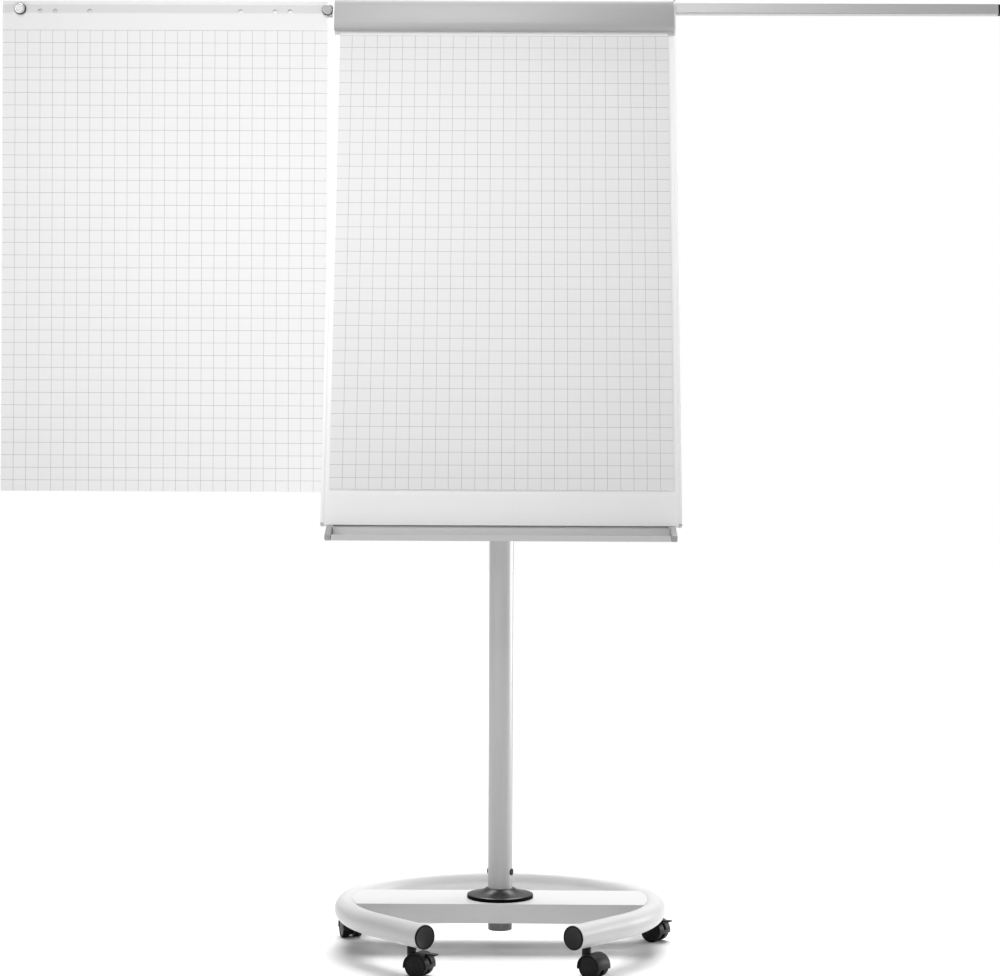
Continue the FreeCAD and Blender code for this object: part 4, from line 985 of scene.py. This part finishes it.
@dataclass
class HangingSheet:
    """Loose sheet that hangs plumb from the left arm, with its two magnets."""

    finishes: FinishSet
    width: float = 0.650
    length: float = 0.980
    thickness: float = 0.0003
    hole_radius: float = 0.00475
    hole_drop: float = 0.020
    hole_offsets: tuple[float, ...] = (0.151, 0.220, 0.250)
    pulls: tuple[tuple[float, float, float, float], ...] = (
        (-0.28, -0.49, -0.0030, 0.16), (-0.10, -0.49, 0.0028, 0.15), (0.08, -0.49, -0.0026, 0.15),
        (0.27, -0.49, 0.0034, 0.17), (-0.20, 0.05, 0.0015, 0.30), (0.20, -0.12, -0.0015, 0.30))
    columns: int = 52
    rows: int = 78
    grasp: float = 0.012
    drill_reach: float = 0.01
    magnet_face_radius: float = 0.0102
    magnet_base_radius: float = 0.0115
    magnet_base_depth: float = 0.0025
    magnet_base_rounding: float = 0.0006
    magnet_face_rounding: float = 0.0012
    magnet_rim: float = 0.0015
    magnet_sink: float = 0.0006
    magnet_smooth_angle: float = 30.0

    def build(self) -> None:
        """Make the sheet and its magnets."""
        low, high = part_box("hanging_sheet")
        centre = (low + high) / 2
        sheet = self.paper(centre)
        report(sheet, "sheet", ["hanging_sheet"])
        for side in Side:
            self.magnet(side)

    def paper(self, centre: Vector) -> bpy.types.Object:
        """Wavy punched sheet.

        Args:
            centre: Middle of the flat sheet.

        Returns:
            The sheet.
        """
        Bench.clear()
        bpy.ops.mesh.primitive_grid_add(x_subdivisions=self.columns, y_subdivisions=self.rows, size=1.0,
                                        rotation=(math.pi / 2, 0, 0))
        sheet = Bench.named("hanging_sheet_paper")
        sheet.scale = (self.width, self.length, 1.0)
        Bench.settle(sheet)
        Bench.edit(sheet)
        for across, up, depth, reach in self.pulls:
            spot = Vector((across, 0.0, up))
            Bench.pick(sheet, Pick.VERT,
                       lambda vert: (Vector((vert.co.x, 0, vert.co.z)) - spot).length < self.grasp)
            bpy.ops.transform.translate(value=(0.0, depth, 0.0), use_proportional_edit=True,
                                        proportional_edit_falloff="SMOOTH", proportional_size=reach)
        Bench.done()
        Bench.modify(sheet, "SOLIDIFY", thickness=self.thickness, offset=0.0)
        drills = []
        for offset in self.hole_offsets:
            for side in Side:
                drill = Bench.drum("sheet_drill", self.hole_radius, -self.drill_reach, self.drill_reach, 24)
                Bench.place(drill, Matrix.Translation(
                    (side.sign * offset, 0, self.length / 2 - self.hole_drop)))
                drills.append(drill)
        drill = Bench.join("sheet_drills", drills)
        Bench.modify(sheet, "BOOLEAN", operation="DIFFERENCE", object=drill, solver="EXACT")
        bpy.data.objects.remove(drill)
        Bench.smooth(sheet)
        dress(sheet, self.finishes.sheet_paper)
        Bench.place(sheet, Matrix.Translation(centre))
        return sheet

    def magnet(self, side: Side) -> None:
        """Round magnet: a turned metal face on a black base."""
        node = "sheet_magnet_" + side.value
        low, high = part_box(node)
        centre = (low + high) / 2
        joint = high.y - self.magnet_base_depth
        base = Bench.drum("magnet_base_" + side.value, self.magnet_base_radius, joint, high.y)
        face = Bench.drum("magnet_face_" + side.value, self.magnet_face_radius, low.y, joint)
        for piece, rounding in ((base, self.magnet_base_rounding), (face, self.magnet_face_rounding)):
            Bench.edit(piece)
            Bench.round_rims(piece, rounding, 4)
            Bench.done()
        Bench.edit(face)
        Bench.pick(face, Pick.FACE, lambda item: item.normal.y < -FACING)
        bpy.ops.mesh.inset(thickness=self.magnet_rim, depth=0.0)
        bpy.ops.mesh.inset(thickness=self.magnet_sink, depth=-self.magnet_sink)
        Bench.done()
        for piece, finish, slot, nodes in ((base, self.finishes.black, "black_plastic", ()),
                                           (face, self.finishes.turned, "magnet_metal", (node,))):
            Bench.smooth(piece, self.magnet_smooth_angle)
            dress(piece, finish)
            Bench.place(piece, Matrix.Translation((centre.x, 0, centre.z)))
            report(piece, "sheet", nodes)


# ---------------------------------------------------------------------------
# Studio
# ---------------------------------------------------------------------------
@dataclass(frozen=True)
class Softbox:
    """Square soft lamp aimed at a point."""

    name: str
    place: Point
    aim: Point
    size: float
    power: float
    spread: float

    def hang(self) -> None:
        """Add the lamp, its spread given in degrees."""
        light = bpy.data.lights.new(self.name, "AREA")
        light.shape = "SQUARE"
        light.size = self.size
        light.energy = self.power
        light.spread = math.radians(self.spread)
        lamp = bpy.data.objects.new(self.name, light)
        bpy.context.scene.collection.objects.link(lamp)
        lamp.location = self.place
        lamp.rotation_euler = (Vector(self.aim) - Vector(self.place)).to_track_quat("-Z", "Y").to_euler()


@dataclass
class Studio:
    """Plain floor, soft lights and camera."""

    lens: float = 81.75
    camera_place: Point = (0.0243, -4.4608, 0.899)
    camera_yaw: float = 0.359
    camera_roll: float = 0.25
    seen_surround: float = 1.0
    mirrored_surround: float = 0.55
    ambient: float = 0.1
    overhead: float = 4.0
    overhead_width: float = 50.0
    overhead_from: Point = (0.02, 0.36, 0.93)
    softboxes: tuple[Softbox, ...] = (
        Softbox("front_softbox", (-0.5, -2.7, 3.9), (-0.1, 0.0, 1.5), 1.6, 4.8, 36.0),
        Softbox("left_softbox", (-2.3, -2.8, 2.0), (-0.75, 0.0, 1.35), 1.2, 2.0, 40.0),
        Softbox("right_strip", (2.6, 0.9, 0.9), (0.0, 0.0, 0.6), 1.2, 4.0, 60.0))
    sensor_width: float = 36.0
    floor_size: float = 40.0
    floor_height: float = -0.0002
    floor_lightness: float = 0.97

    def build(self) -> None:
        """Set the floor, world, lights, camera and view transform."""
        self.floor()
        self.world()
        self.sky_panel()
        for softbox in self.softboxes:
            softbox.hang()
        self.camera()
        bpy.context.scene.view_settings.view_transform = "Standard"

    def floor(self) -> None:
        """Wide pale floor."""
        Bench.clear()
        bpy.ops.mesh.primitive_plane_add(size=self.floor_size, location=(0, 0, self.floor_height))
        floor = Bench.named("studio_floor")
        Bench.settle(floor)
        dress(floor, Finish("pale_floor", self.floor_lightness, 0.003, roughness=0.9, spread=0.05, bump=0.0))

    def world(self) -> None:
        """Even white surround: full to the camera, dimmer in mirrored light and dimmest in soft light."""
        world = bpy.data.worlds.new("studio_surround")
        bpy.context.scene.world = world
        world.use_nodes = True
        nodes, links = world.node_tree.nodes, world.node_tree.links
        ground = nodes["Background"]
        ground.inputs["Color"].default_value = (1, 1, 1, 1)
        path = nodes.new("ShaderNodeLightPath")
        total = None
        for output, strength in (("Is Camera Ray", self.seen_surround - self.ambient),
                                 ("Is Glossy Ray", self.mirrored_surround - self.ambient)):
            add = nodes.new("ShaderNodeMath")
            add.operation = "MULTIPLY_ADD"
            links.new(path.outputs[output], add.inputs[0])
            add.inputs[1].default_value = strength
            add.inputs[2].default_value = self.ambient
            if total is not None:
                links.new(total, add.inputs[2])
            total = add.outputs[0]
        links.new(total, ground.inputs["Strength"])

    def sky_panel(self) -> None:
        """Very wide soft light from above and a little behind, even over the whole floor."""
        light = bpy.data.lights.new("overhead_panel", "SUN")
        light.energy = self.overhead
        light.angle = math.radians(self.overhead_width)
        lamp = bpy.data.objects.new("overhead_panel", light)
        lamp.rotation_euler = Vector(self.overhead_from).to_track_quat("Z", "Y").to_euler()
        bpy.context.scene.collection.objects.link(lamp)

    def camera(self) -> None:
        """Camera in front of the easel, slightly rolled."""
        data = bpy.data.cameras.new("easel_camera")
        data.lens = self.lens
        data.sensor_width = self.sensor_width
        camera = bpy.data.objects.new("easel_camera", data)
        bpy.context.scene.collection.objects.link(camera)
        turn = (Matrix.Rotation(math.radians(self.camera_yaw), 4, "Z") @ Matrix.Rotation(math.pi / 2, 4, "X")
                @ Matrix.Rotation(math.radians(self.camera_roll), 4, "Z"))
        camera.matrix_world = Matrix.Translation(self.camera_place) @ turn
        bpy.context.scene.camera = camera


def main() -> None:
    """Build every sub-assembly, then the studio."""
    logging.basicConfig(level=logging.INFO, format="%(name)s: %(message)s")
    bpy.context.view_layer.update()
    worked_surface_effect()
    squared_print_effect()
    finishes = FinishSet()
    for assembly in (Base(finishes), Castors(finishes), Pole(finishes), Board(finishes), Arms(finishes),
                     HangingSheet(finishes), Studio()):
        assembly.build()


if __name__ == "__main__":
    main()
